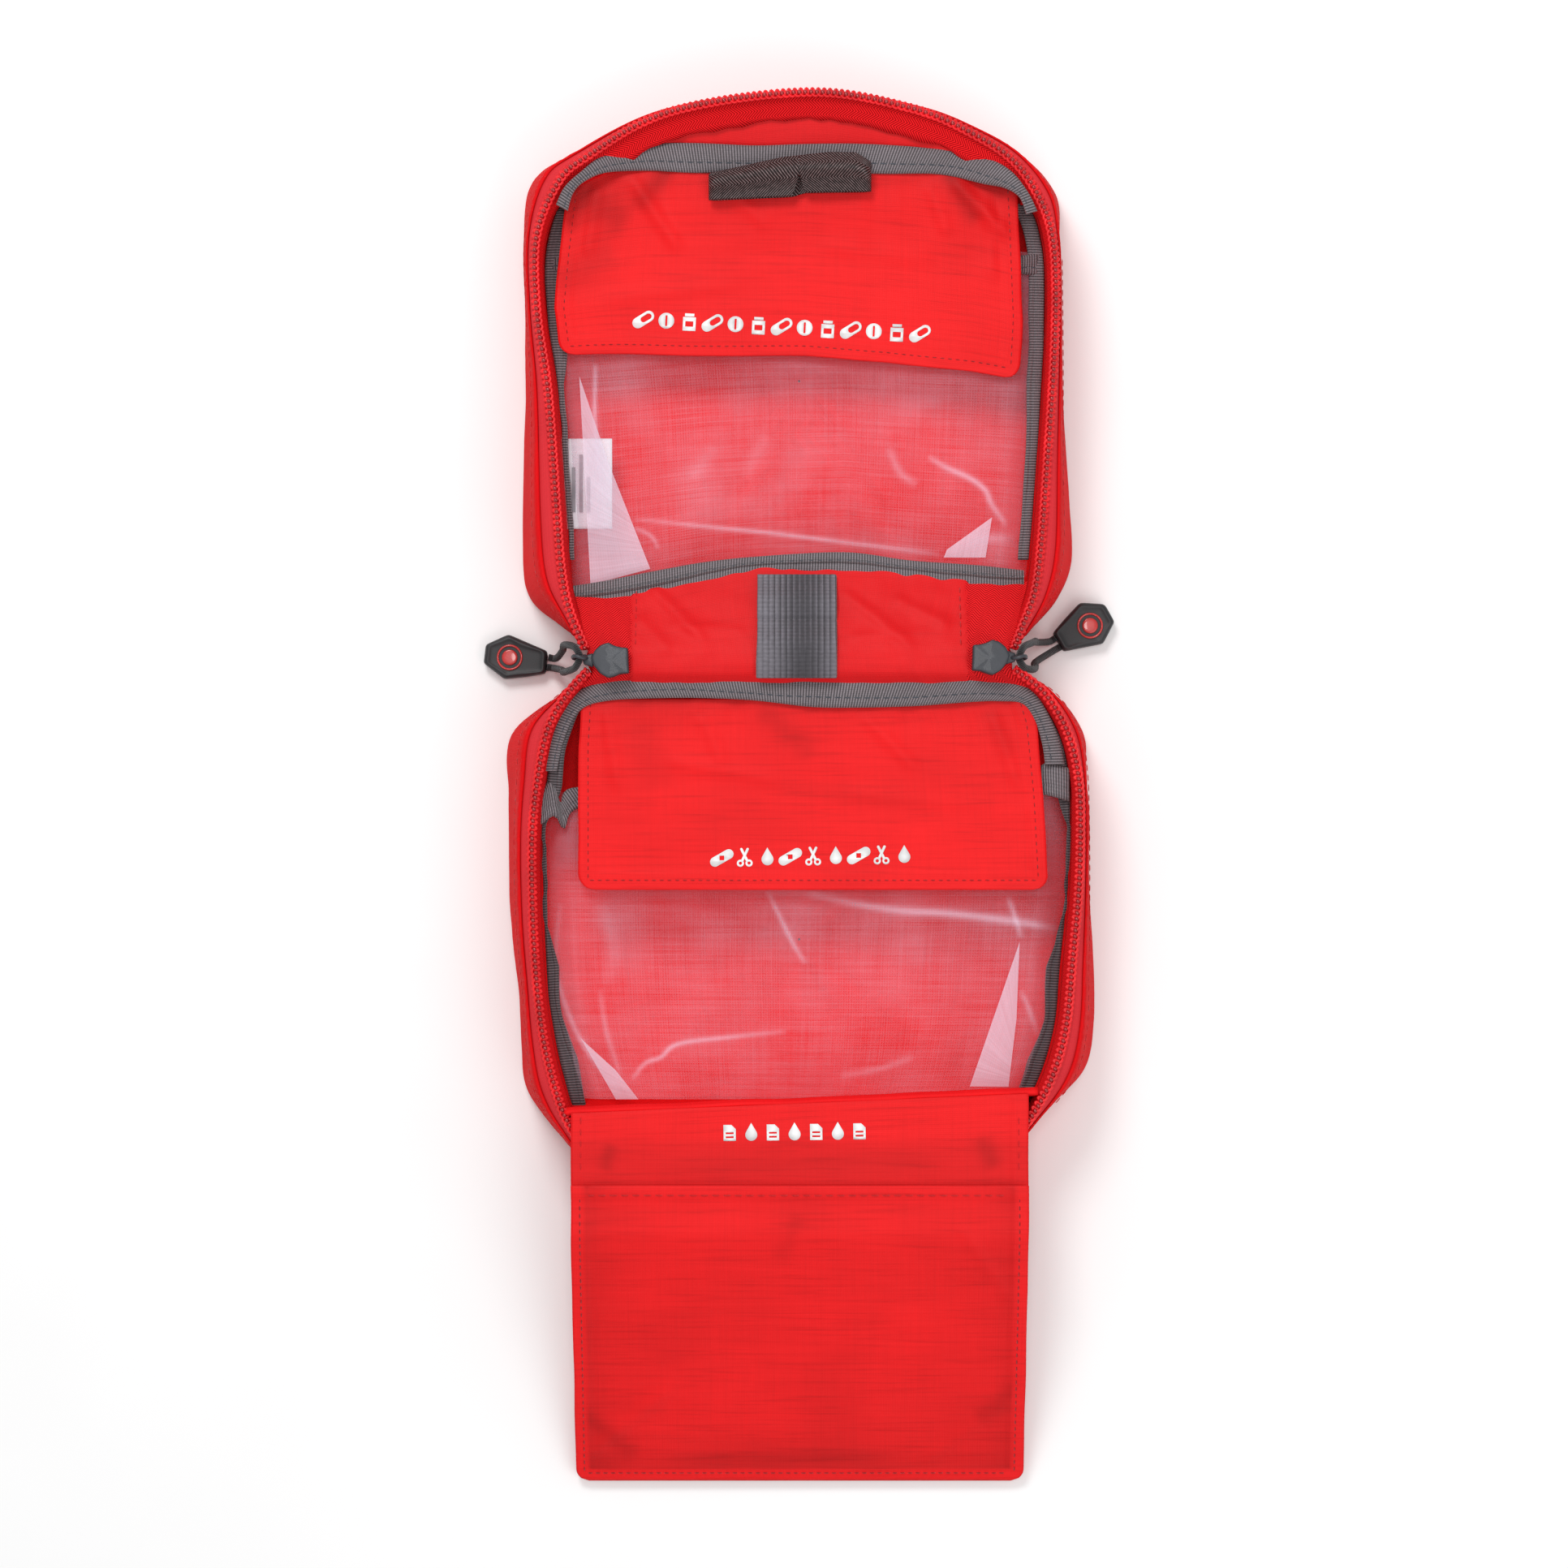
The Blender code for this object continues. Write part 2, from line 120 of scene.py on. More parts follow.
def waves(xs, ys, scale, seed=0.0):
    flat = [wave(x, y, scale, seed) for x, y in zip(np.ravel(xs), np.ravel(ys))]
    return np.array(flat).reshape(np.shape(xs))


def soft_step(t):
    t = np.clip(t, 0, 1)
    return t * t * (3 - 2 * t)


def ridges(xs, ys, creases):
    """Soft bumps along lines, fading at their ends; each is (x, s, x, s, half width, height)."""
    total = 0.0
    for x0, y0, x1, y1, width, height in creases:
        dx, dy = x1 - x0, y1 - y0
        length = math.hypot(dx, dy)
        along = ((xs - x0) * dx + (ys - y0) * dy) / length**2
        across = ((xs - x0) * dy - (ys - y0) * dx) / length
        ends = soft_step(np.minimum(along, 1 - along) * 4 + 0.5)
        total = total + height * np.exp(-(across / width) ** 2) * ends
    return total


def new_object(name, verts, faces, mat, uvs=None):
    """A smooth mesh from local millimetres, with UVs in millimetres: x and s unless given."""
    uvs = [v[:2] for v in verts] if uvs is None else uvs
    mesh = bpy.data.meshes.new(name)
    mesh.from_pydata([place(v) for v in verts], [], faces)
    layer = mesh.uv_layers.new(name="UVMap")
    loops = np.empty(len(mesh.loops), int)
    mesh.loops.foreach_get("vertex_index", loops)
    layer.data.foreach_set("uv", np.asarray(uvs, np.float32)[loops].ravel())
    mesh.validate()
    mesh.shade_smooth()
    mesh.materials.append(mat)
    obj = bpy.data.objects.new(name, mesh)
    bpy.context.collection.objects.link(obj)
    return obj


def quad_faces(index):
    """The quads between neighbours in a table of vertex numbers."""
    corners = [index[:-1, :-1], index[1:, :-1], index[1:, 1:], index[:-1, 1:]]
    return np.stack(corners, axis=2).reshape(-1, 4)


def uv_table(u, v):
    return np.stack(np.meshgrid(u, v, indexing="ij"), axis=2).reshape(-1, 2)


def grid(name, rows, mat, closed_columns=False, flip=False):
    """A sheet from an array of points, rows x columns x 3, with UVs in millimetres."""
    rows = np.asarray(rows, float)
    n, m = rows.shape[:2]
    index = np.arange(n * m).reshape(n, m)
    if closed_columns:
        index = np.hstack([index, index[:, :1]])
    quads = quad_faces(index)[:, ::-1 if flip else 1]
    uvs = uv_table(path_run(rows[:, m // 2]), path_run(rows[n // 2]))
    return new_object(name, rows.reshape(-1, 3), quads.tolist(), mat, uvs)


def thicken(obj, thickness, offset=-1.0):
    mod = obj.modifiers.new("cloth", "SOLIDIFY")
    mod.thickness = thickness * MM
    mod.offset = offset
    mod.use_even_offset = False
    return apply_modifiers(obj)


def apply_modifiers(obj):
    bpy.context.view_layer.update()
    evaluated = obj.evaluated_get(bpy.context.evaluated_depsgraph_get())
    mesh = bpy.data.meshes.new_from_object(evaluated)
    obj.modifiers.clear()
    obj.data = mesh
    return obj


def level_sides(path):
    """Unit tangents of a path, and unit side vectors level with the table."""
    tangent = unit(np.gradient(path, axis=0))
    return tangent, unit(np.cross(tangent, [0, 0, 1.0]))


def round_tube(name, path, radius, mat, sides=8, closed=False):
    """A tube along a path, with capped ends unless the path closes on itself."""
    path = np.asarray(path, float)
    n = len(path)
    ahead = np.roll(path, -1, axis=0) - np.roll(path, 1, axis=0) if closed else np.gradient(path, axis=0)
    tangent = unit(ahead)
    normal = np.empty_like(path)
    current = np.cross(tangent[0], [0.13, 0.31, 0.94])
    for i in range(n):
        current = unit(current - tangent[i] * (current @ tangent[i]))
        normal[i] = current
    other = np.cross(tangent, normal)
    angles = np.arange(sides)[:, None] * 2 * math.pi / sides
    rows = path[:, None] + radius * (np.cos(angles) * normal[:, None] + np.sin(angles) * other[:, None])
    index = np.arange(n * sides).reshape(n, sides)
    caps = [] if closed else [index[0, ::-1].tolist(), index[-1].tolist()]
    index = np.hstack([index, index[:, :1]])
    if closed:
        index = np.vstack([index, index[:1]])
    uvs = uv_table(path_run(path), angles[:, 0] * radius)
    return new_object(name, rows.reshape(-1, 3), quad_faces(index.T).tolist() + caps, mat, uvs)


def join(name, objects):
    """Several meshes of one piece as one object."""
    bm = bmesh.new()
    for obj in objects:
        bm.from_mesh(obj.data)
    mesh = bpy.data.meshes.new(name)
    bm.to_mesh(mesh)
    bm.free()
    for mat in objects[0].data.materials:
        mesh.materials.append(mat)
    for obj in objects:
        bpy.data.objects.remove(obj, do_unlink=True)
    mesh.shade_smooth()
    result = bpy.data.objects.new(name, mesh)
    bpy.context.collection.objects.link(result)
    return result


def tape_band(name, edge_a, edge_b, mat, thickness, seam):
    """A folded binding between two edges: a flattened closed tube with a sewn groove along it."""
    across = edge_b - edge_a
    normal = unit(np.cross(np.gradient(edge_a + edge_b, axis=0), across))
    normal *= np.sign(normal[:, 2:3] + 1e-9)
    top = np.array([0.0, 0.03, 0.1, 0.22, 0.36, 0.5, seam - 0.05, seam, seam + 0.05, 0.82, 0.92, 0.98, 1.0])
    height = thickness * np.clip(1 - np.abs(2 * top - 1) ** 7, 0, 1) ** 0.6
    height = height - 0.35 * np.exp(-((top - seam) / 0.045) ** 2)
    shares = np.concatenate([top, [0.9, 0.5, 0.1]])
    heights = np.concatenate([height, [-0.25, -0.25, -0.25]])
    rows = edge_a[:, None] + across[:, None] * shares[:, None] + normal[:, None] * heights[:, None]
    obj = grid(name, rows, mat, closed_columns=True)
    cap_ends(obj, len(edge_a), len(shares))
    return obj


def cap_ends(obj, rows, columns):
    bm = bmesh.new()
    bm.from_mesh(obj.data)
    bm.verts.ensure_lookup_table()
    for row in (0, rows - 1):
        ring = [bm.verts[row * columns + j] for j in range(columns)]
        bm.faces.new(ring if row else ring[::-1])
    bmesh.ops.recalc_face_normals(bm, faces=bm.faces)
    bm.to_mesh(obj.data)
    bm.free()


# (rise, share of the radius) along one stitch
STITCH_SHAPE = ((-0.12, 0.45), (0.05, 0.95), (0.1, 1.0), (0.05, 0.95), (-0.12, 0.45))


def stitches(name, path, mat, length=2.0, gap=0.9, radius=0.17, zigzag=0.0):
    """A row of thread stitches lying on a path, each a short capsule that dips in at its ends."""
    path = np.asarray(path, float)
    run = path_run(path)
    _, side = level_sides(path)
    rise, fat = np.array(STITCH_SHAPE).T
    steps, around = len(rise), 6
    angles = np.arange(around) * 2 * math.pi / around
    index = np.arange(steps * around).reshape(steps, around)
    shell = quad_faces(np.hstack([index, index[:, :1]]).T).tolist()
    shell += [index[0, ::-1].tolist(), index[-1].tolist()]
    verts, faces = [], []
    for k in range(int(run[-1] // (length + gap))):
        start = k * (length + gap) + gap / 2
        at = np.linspace(start, start + length, steps)
        line = sample(path, run, at)
        lean = zigzag if k % 2 else -zigzag
        line += sample(side, run, at) * (np.linspace(-1, 1, steps) * lean)[:, None]
        line[:, 2] += rise
        direction = unit(line[-1] - line[0])
        across = unit(np.cross(direction, [0, 0, 1.0]))
        ring = np.outer(np.cos(angles), across) + np.outer(np.sin(angles), np.cross(across, direction))
        faces += [[len(verts) + i for i in face] for face in shell]
        verts += list((line[:, None] + radius * fat[:, None, None] * ring).reshape(-1, 3))
    return new_object(name, verts, faces, mat)


# ---------------------------------------------------------------- materials

def node_material(name, roughness=0.6, metallic=0.0, sheen=0.0, coat=0.0, specular=0.5):
    mat = bpy.data.materials.new(name)
    mat.use_nodes = True
    shader = mat.node_tree.nodes["Principled BSDF"]
    for socket, value in (("Roughness", roughness), ("Metallic", metallic), ("Sheen Weight", sheen),
                          ("Sheen Roughness", 0.4), ("Coat Weight", coat),
                          ("Specular IOR Level", specular)):
        shader.inputs[socket].default_value = value
    return mat, mat.node_tree, shader


def add(tree, kind, **values):
    node = tree.nodes.new(kind)
    for key, value in values.items():
        if key in node.bl_rna.properties:
            setattr(node, key, value)
        else:
            node.inputs[key.replace("_", " ")].default_value = value
    return node


def mapped(tree, source, scale):
    mapping = add(tree, "ShaderNodeMapping", Scale=scale)
    tree.links.new(source, mapping.inputs["Vector"])
    return mapping.outputs["Vector"]


def uv_mm(tree, scale=(1, 1, 1)):
    return mapped(tree, add(tree, "ShaderNodeUVMap", uv_map="UVMap").outputs["UV"], scale)


def object_mm(tree):
    """The row frame's coordinates in millimetres, for detail that runs across several pieces."""
    return mapped(tree, add(tree, "ShaderNodeTexCoord").outputs["Object"], (1 / MM,) * 3)


def math_node(tree, operation, a, b=None, c=None):
    node = add(tree, "ShaderNodeMath", operation=operation)
    for socket, value in zip(node.inputs, (a, b, c)):
        if value is None:
            continue
        if isinstance(value, (int, float)):
            socket.default_value = value
        else:
            tree.links.new(value, socket)
    return node.outputs[0]


def noise_node(tree, vector, scale, detail=3.0, roughness=0.55):
    node = add(tree, "ShaderNodeTexNoise", Scale=scale, Detail=detail, Roughness=roughness)
    tree.links.new(vector, node.inputs["Vector"])
    return node.outputs["Fac"]


def ramp(tree, value, stops):
    node = add(tree, "ShaderNodeValToRGB")
    while len(node.color_ramp.elements) < len(stops):
        node.color_ramp.elements.new(0.5)
    for element, (position, colour) in zip(node.color_ramp.elements, stops):
        element.position = position
        element.color = (*colour, 1)
    tree.links.new(value, node.inputs["Fac"])
    return node.outputs["Color"]


def mix_colour(tree, factor, a, b, kind="MIX"):
    node = add(tree, "ShaderNodeMix", data_type="RGBA", blend_type=kind)
    for socket, value in ((node.inputs[0], factor), (node.inputs[6], a), (node.inputs[7], b)):
        if isinstance(value, (int, float)):
            socket.default_value = value
        elif isinstance(value, tuple):
            socket.default_value = (*value, 1)
        else:
            tree.links.new(value, socket)
    return node.outputs[2]


def uneven(tree, share, tone, value, low, high, span=(0.3, 0.7)):
    """The tone, multiplied by levels that go from low to high with a value."""
    levels = [level if isinstance(level, tuple) else (level,) * 3 for level in (low, high)]
    return mix_colour(tree, share, tone, ramp(tree, value, list(zip(span, levels))), "MULTIPLY")


def bump(tree, shader, height, strength, distance):
    node = add(tree, "ShaderNodeBump", Strength=strength, Distance=distance)
    tree.links.new(height, node.inputs["Height"])
    tree.links.new(node.outputs["Normal"], shader.inputs["Normal"])


def painted(tree, name):
    return add(tree, "ShaderNodeAttribute", attribute_name=name).outputs["Fac"]


def separate(tree, vector):
    node = add(tree, "ShaderNodeSeparateXYZ")
    tree.links.new(vector, node.inputs["Vector"])
    return node.outputs


def stripes(tree, coordinate, period):
    """Rounded threads side by side, as a height from 0 to 1."""
    angle = math_node(tree, "MULTIPLY", coordinate, 2 * math.pi / period)
    return math_node(tree, "MULTIPLY_ADD", math_node(tree, "SINE", angle), 0.5, 0.5)


def weave_threads(tree, vector, period):
    """Warp, weft, and the two crossed."""
    split = separate(tree, vector)
    warp, weft = [stripes(tree, split[axis], period) for axis in ("X", "Y")]
    return warp, weft, math_node(tree, "MULTIPLY", warp, weft)


def cloth_material(name, colour, roughness, grid_size=0.0, slub=0.12, weave=0.55, sheen=0.03,
                   specular=0.18):
    """Woven nylon: fine crossed threads, slubs along the weft, and an optional ripstop grid."""
    mat, tree, shader = node_material(name, roughness, sheen=sheen, specular=specular)
    vector = uv_mm(tree)
    warp, weft, cross = weave_threads(tree, vector, weave)
    slubs = noise_node(tree, uv_mm(tree, (0.9, 0.035, 1)), 1.0, 4.0, 0.6)
    streaks = noise_node(tree, uv_mm(tree, (0.05, 1.6, 1)), 1.0, 2.0)
    dark = tuple(c * 0.62 for c in colour)
    light = tuple(min(c * 1.12 + 0.004, 1) for c in colour)
    tone = ramp(tree, slubs, [(0.30, dark), (0.47, colour), (0.75, light)])
    tone = mix_colour(tree, slub * 3.5, colour, tone)
    tone = uneven(tree, 0.3, tone, streaks, 0.86, 1.06)
    tone = uneven(tree, 0.7, tone, noise_node(tree, vector, 0.03), 0.9, 1.05)
    tone = uneven(tree, 0.5, tone, cross, 0.85, 1.08, (0.0, 1.0))
    height = math_node(tree, "ADD", warp, weft)
    if grid_size:
        split = separate(tree, vector)
        lines = []
        for axis in ("X", "Y"):
            part = math_node(tree, "FRACT", math_node(tree, "DIVIDE", split[axis], grid_size))
            near = math_node(tree, "ABSOLUTE", math_node(tree, "SUBTRACT", part, 0.5))
            lines.append(math_node(tree, "LESS_THAN", near, 0.045))
        ripstop = math_node(tree, "MAXIMUM", *lines)
        tone = mix_colour(tree, math_node(tree, "MULTIPLY", ripstop, 0.07), tone, dark)
        height = math_node(tree, "MULTIPLY_ADD", ripstop, 0.5, height)
    tone = mix_colour(tree, painted(tree, "shade"), tone, (0.42, 0.40, 0.40), "MULTIPLY")
    tree.links.new(tone, shader.inputs["Base Color"])
    height = math_node(tree, "MULTIPLY_ADD", slubs, 1.2, height)
    bump(tree, shader, height, 0.25, 0.00012)
    return mat


def herringbone_material(name, colour, high, roughness, period, across="Y", band_width=2.7, low=0.6,
                         sparkle=1.1, speckle_share=0.25, depth=0.5, specular=0.5):
    """Twill that turns back in bands, as on zip tape and herringbone webbing."""
    mat, tree, shader = node_material(name, roughness, specular=specular)
    vector = uv_mm(tree)
    split = separate(tree, vector)
    band = math_node(tree, "PINGPONG", split[across], band_width)
    along = math_node(tree, "ADD", split["X" if across == "Y" else "Y"], band)
    bars = stripes(tree, along, period * 0.5)
    tone = ramp(tree, bars, [(0.1, tuple(c * low for c in colour)), (0.6, colour), (0.95, high)])
    tone = uneven(tree, speckle_share, tone, noise_node(tree, vector, 0.9), 0.6, sparkle)
    tree.links.new(tone, shader.inputs["Base Color"])
    bump(tree, shader, bars, depth, 0.00025)
    return mat


def ribbed_material(name, colour, period, depth=0.6, along="X", contrast=0.4):
    """Grosgrain: close ribs across the tape, with fine thread speckle."""
    mat, tree, shader = node_material(name, 0.75, sheen=0.25, specular=0.3)
    vector = uv_mm(tree)
    split = separate(tree, vector)
    bars = stripes(tree, split[along], period)
    picks = stripes(tree, split["Y" if along == "X" else "X"], period * 0.7)
    low = tuple(c * (1 - contrast) for c in colour)
    high = tuple(min(1, c * (1 + contrast)) for c in colour)
    tone = ramp(tree, bars, [(0.05, low), (0.5, colour), (1.0, high)])
    tone = uneven(tree, 0.35, tone, picks, 0.7, 1.2, (0.0, 1.0))
    tone = uneven(tree, 0.6, tone, noise_node(tree, vector, 1.4), (0.72, 0.7, 0.71), (1.2, 1.18, 1.2),
                  (0.3, 0.72))
    tone = uneven(tree, 0.5, tone, noise_node(tree, vector, 0.08, 2.0), (0.85, 0.83, 0.83),
                  (1.1, 1.1, 1.12))
    tree.links.new(tone, shader.inputs["Base Color"])
    bump(tree, shader, math_node(tree, "MULTIPLY_ADD", picks, 0.35, bars), depth, 0.0002)
    return mat


def mesh_material(name, veil=0.10, tint=(0.94, 0.80, 0.98)):
    """See-through organza: a fine open weave whose threads scatter light and whose gaps don't."""
    mat, tree, shader = node_material(name, 0.5, specular=0.35, sheen=0.05)
    vector = uv_mm(tree)
    warp, weft, cross = weave_threads(tree, vector, 0.8)
    # Long soft streaks whiten and tint the mesh: painted highlight streaks of sheen on the sheer cloth.
    streaks = noise_node(tree, uv_mm(tree, (0.8, 0.03, 1)), 1.0)
    alpha = math_node(tree, "MULTIPLY_ADD", math_node(tree, "MAXIMUM", warp, weft), 0.06, veil - 0.04)
    alpha = math_node(tree, "MULTIPLY_ADD", streaks, 0.08, alpha)
    alpha = math_node(tree, "MULTIPLY_ADD", noise_node(tree, vector, 0.03, 4.0), 0.16, alpha)
    for scale in ((2.0, 0.03, 1), (0.03, 2.0, 1)):
        alpha = math_node(tree, "MULTIPLY_ADD", noise_node(tree, uv_mm(tree, scale), 1.0, 2.0), 0.10, alpha)
    alpha = math_node(tree, "SUBTRACT", alpha, 0.22)
    # Painted highlight: the 'fold' attribute whitens the mesh on creases that catch light, as well as where
    # it lies double or turns down.
    alpha = math_node(tree, "ADD", alpha, painted(tree, "fold"))
    alpha = math_node(tree, "MINIMUM", math_node(tree, "MAXIMUM", alpha, 0.03), 1.0)
    tree.links.new(alpha, shader.inputs["Alpha"])
    tone = ramp(tree, streaks, [(0.3, tuple(c * 0.88 for c in tint)), (0.7, tint)])
    tree.links.new(tone, shader.inputs["Base Color"])
    bump(tree, shader, cross, 0.3, 0.0001)
    return mat


def moulded_material(name, colour, roughness, coat=0.0, metallic=0.0, grain=0.4, specular=0.5, depth=0.15):
    """Moulded or painted: a fine grain, a little wear in tone and uneven polish."""
    mat, tree, shader = node_material(name, roughness, metallic, coat=coat, specular=specular)
    vector = object_mm(tree)
    fine = noise_node(tree, vector, 1.0 / grain)
    low = tuple(c * 0.75 for c in colour)
    high = tuple(min(1, c * 1.25 + 0.004) for c in colour)
    tone = ramp(tree, noise_node(tree, vector, 0.12), [(0.3, low), (0.55, colour), (0.8, high)])
    tree.links.new(tone, shader.inputs["Base Color"])
    polish = math_node(tree, "MULTIPLY_ADD", fine, 0.16, roughness - 0.08)
    tree.links.new(polish, shader.inputs["Roughness"])
    bump(tree, shader, fine, depth, 0.0001)
    return mat


RED = (0.86, 0.009, 0.011)
STRAP_X = (-12.6, 11.6)
WEBBING_RIB = (STRAP_X[1] - STRAP_X[0]) / 13  # the strap's width shared between its ribs
M = {
    "ripstop": cloth_material("red_ripstop", RED, 0.55, grid_size=5.0),
    "wall": cloth_material("red_wall_cloth", (0.74, 0.007, 0.010), 0.7, grid_size=5.0, slub=0.06, sheen=0.0,
                           specular=0.06),
    "lining": cloth_material("red_lining", (0.90, 0.009, 0.012), 0.6, slub=0.05, weave=0.45, sheen=0.0,
                             specular=0.10),
    # A darker red than the lining; on the lid's end lining it serves as painted shade.
    "spine": cloth_material("red_spine_cloth", (0.76, 0.009, 0.012), 0.5, slub=0.05, weave=0.45),
    "tape": herringbone_material("red_zip_tape", (0.80, 0.005, 0.009), (1.0, 0.02, 0.025), 0.8, 1.8,
                                 across="X", band_width=2.2, low=0.45, specular=0.08),
    # Outer zip tape strip: red made paler and pinker, a painted highlight along the strip beside the coil.
    "tape_edge": cloth_material("red_tape_edge", (0.70, 0.03, 0.04), 0.6, slub=0.02, weave=0.5, sheen=0.0,
                                specular=0.12),
    "tape_flat": herringbone_material("red_tape_flat", (0.76, 0.006, 0.010), (1.0, 0.025, 0.03), 0.7, 1.8,
                                      across="Y", band_width=2.4, low=0.5, specular=0.1),
    "coil": moulded_material("red_coil", (0.80, 0.006, 0.012), 0.45, grain=0.8, specular=0.4),
    "coil_head": moulded_material("coil_heads", (0.34, 0.002, 0.005), 0.2, grain=0.8, specular=0.7),
    "binding": ribbed_material("grey_binding", (0.175, 0.156, 0.166), period=0.85, contrast=0.62,
                               depth=0.9),
    # The grey binding darkened: painted shade for the lower tray's side bindings, down under the coil.
    "binding_shaded": ribbed_material("grey_binding_painted_shade", (0.095, 0.082, 0.088), period=0.85,
                                    contrast=0.62, depth=0.9),
    "webbing": ribbed_material("grey_webbing", (0.125, 0.118, 0.133), period=WEBBING_RIB, along="Y",
                               contrast=0.5, depth=0.3),
    "black_web": herringbone_material("black_herringbone_webbing", (0.018, 0.006, 0.006),
                                      (0.15, 0.11, 0.11), 0.36, 1.9, specular=0.35, depth=1.0,
                                      band_width=4.4, low=0.4, sparkle=2.2, speckle_share=0.8),
    "mesh": mesh_material("clear_mesh"),
    "mesh_double": mesh_material("clear_mesh_doubled", 0.50, (0.88, 0.78, 0.93)),
    "slider": moulded_material("slate_slider", (0.036, 0.039, 0.048), 0.45, coat=0.05, metallic=0.1,
                               grain=0.3),
    "rubber": moulded_material("black_rubber", (0.016, 0.016, 0.018), 0.5, grain=0.25, depth=0.3),
    "cord": ribbed_material("black_cord", (0.018, 0.018, 0.02), period=0.5, contrast=0.5, depth=0.8),
    "badge": moulded_material("badge_red", (0.52, 0.02, 0.018), 0.3, coat=0.4),
    "print": moulded_material("white_print", (0.90, 0.90, 0.90), 0.6, grain=0.5, depth=0.3),
    "label": cloth_material("white_label", (0.92, 0.88, 0.94), 0.6, slub=0.02, weave=0.4),
    "label_ink": moulded_material("label_ink", (0.33, 0.31, 0.34), 0.7),
    "thread_red": ribbed_material("red_thread", (0.66, 0.006, 0.01), period=0.3, contrast=0.3),
    "thread_dark": ribbed_material("deep_red_thread", (0.42, 0.005, 0.008), period=0.3, contrast=0.3),
    "thread_grey": ribbed_material("grey_thread", (0.085, 0.095, 0.115), period=0.3, contrast=0.3),
}


# ---------------------------------------------------------------- camera, floor and light

def make_camera():
    data = bpy.data.cameras.new("camera")
    data.sensor_width = 36
    data.lens = 96.9
    camera = bpy.data.objects.new("camera", data)
    camera.location = place((-4.75, -39, RIM + 1300))
    bpy.context.collection.objects.link(camera)
    bpy.context.scene.camera = camera


def make_cord(side, sign, entry, heading):
    """A pull's cord loop, from the grip up to the bail and back, in metres from the spine."""
    bail_x, bail_z = 0.0676, 0.036
    across = (-math.sin(heading), math.cos(heading))
    ends = [(entry[0] + k * 0.0016 * across[0], entry[1] + k * 0.0016 * across[1], 0.0036)
            for k in (1, -1)]
    ends = ends[::1 if ends[0][1] > ends[1][1] else -1]
    run_in = [(x - 0.0025 * math.cos(heading), y - 0.0025 * math.sin(heading), z + 0.0004)
              for x, y, z in ends]
    strand = [(0.0042, 0.0041, -0.0052), (0.0056, 0.0042, -0.0115), (0.0061, 0.0038, -0.0185),
              (0.0066, 0.0031, -0.0250)]
    bend = [(0.0005, 0.0016, -0.0001), (0.0018, 0.0033, -0.0018)]
    lean = entry[1] * 0.5
    there, back = [[(sign * (bail_x + out), lean * min(1.0, -down / 0.03) + k * width, bail_z + down)
                    for out, width, down in bend + strand] for k in (1, -1)]
    route = [ends[0], run_in[0]] + there[::-1] + [(sign * bail_x, 0.0, bail_z + 0.0003)]
    route = smooth(route + back + [run_in[1], ends[1]], 6) / MM
    radius = 1.1
    cord = round_tube(f"{side}_pull_cord_loop", route, radius, M["cord"], 14)
    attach(cord, f"{side}_pull")
    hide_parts(f"{side}_pull_cord")


def make_floor():
    mat, tree, shader = node_material("pale_floor", 0.9, specular=0.1)
    vector = object_mm(tree)
    tone = ramp(tree, noise_node(tree, vector, 0.01),
                [(0.3, (0.93, 0.93, 0.93)), (0.7, (0.95, 0.95, 0.95))])
    tree.links.new(tone, shader.inputs["Base Color"])
    size = 3000
    rows = [[(x, s, -0.15) for x in (-size, 0, size)] for s in (-size, 0, size)]
    grid("floor", rows, mat, flip=True)


def make_lights():
    scene = bpy.context.scene
    scene.view_settings.view_transform = "Standard"
    world = bpy.data.worlds.new("studio")
    world.use_nodes = True
    world.node_tree.nodes["Background"].inputs["Color"].default_value = (1, 1, 1, 1)
    world.node_tree.nodes["Background"].inputs["Strength"].default_value = 0.55
    scene.world = world
    lamps = (("key", (-260, 640, 900), 0.4, 5.4), ("fill", (460, -520, 800), 0.8, 2.5),
             ("top", (0, 60, 1500), 0.3, 3.4))
    for name, spot, size, watts in lamps:
        data = bpy.data.lights.new(name, "AREA")
        data.shape = "DISK"
        data.size = size
        data.energy = watts
        lamp = bpy.data.objects.new(name, data)
        lamp.location = place(spot)
        target = Vector(place((0, -40, 20)))
        lamp.rotation_euler = (target - lamp.location).to_track_quat("-Z", "Y").to_euler()
        bpy.context.collection.objects.link(lamp)


# ---------------------------------------------------------------- the two trays

# (rim x, rim s, base x, base s), from the left spine corner round the far end to the right one
LID_OUTLINE = [
    (-66, 2.5, -68, 5.5), (-71, 15, -76, 11.5), (-73.5, 28, -85, 20.5), (-75, 48, -87.3, 38),
    (-77.5, 82, -86.2, 82), (-81, 107, -86.4, 108), (-81.2, 129, -87, 131), (-75, 146, -85, 149),
    (-66, 154.5, -75, 157), (-40, 168.5, -43, 170.5), (3, 174.6, 3, 176), (35, 169.5, 38, 171.5),
    (54, 161.5, 58, 165), (66.5, 153, 71, 158), (74.5, 141, 81, 147), (78, 129, 82.3, 132),
    (79, 113, 82.4, 112), (78.3, 89, 83.2, 90), (76.5, 62, 84.5, 60), (74.5, 35, 86, 33),
    (72.5, 20, 81.5, 19.5), (68.5, 9, 74.5, 11), (66, 2.5, 67.5, 5.5)]
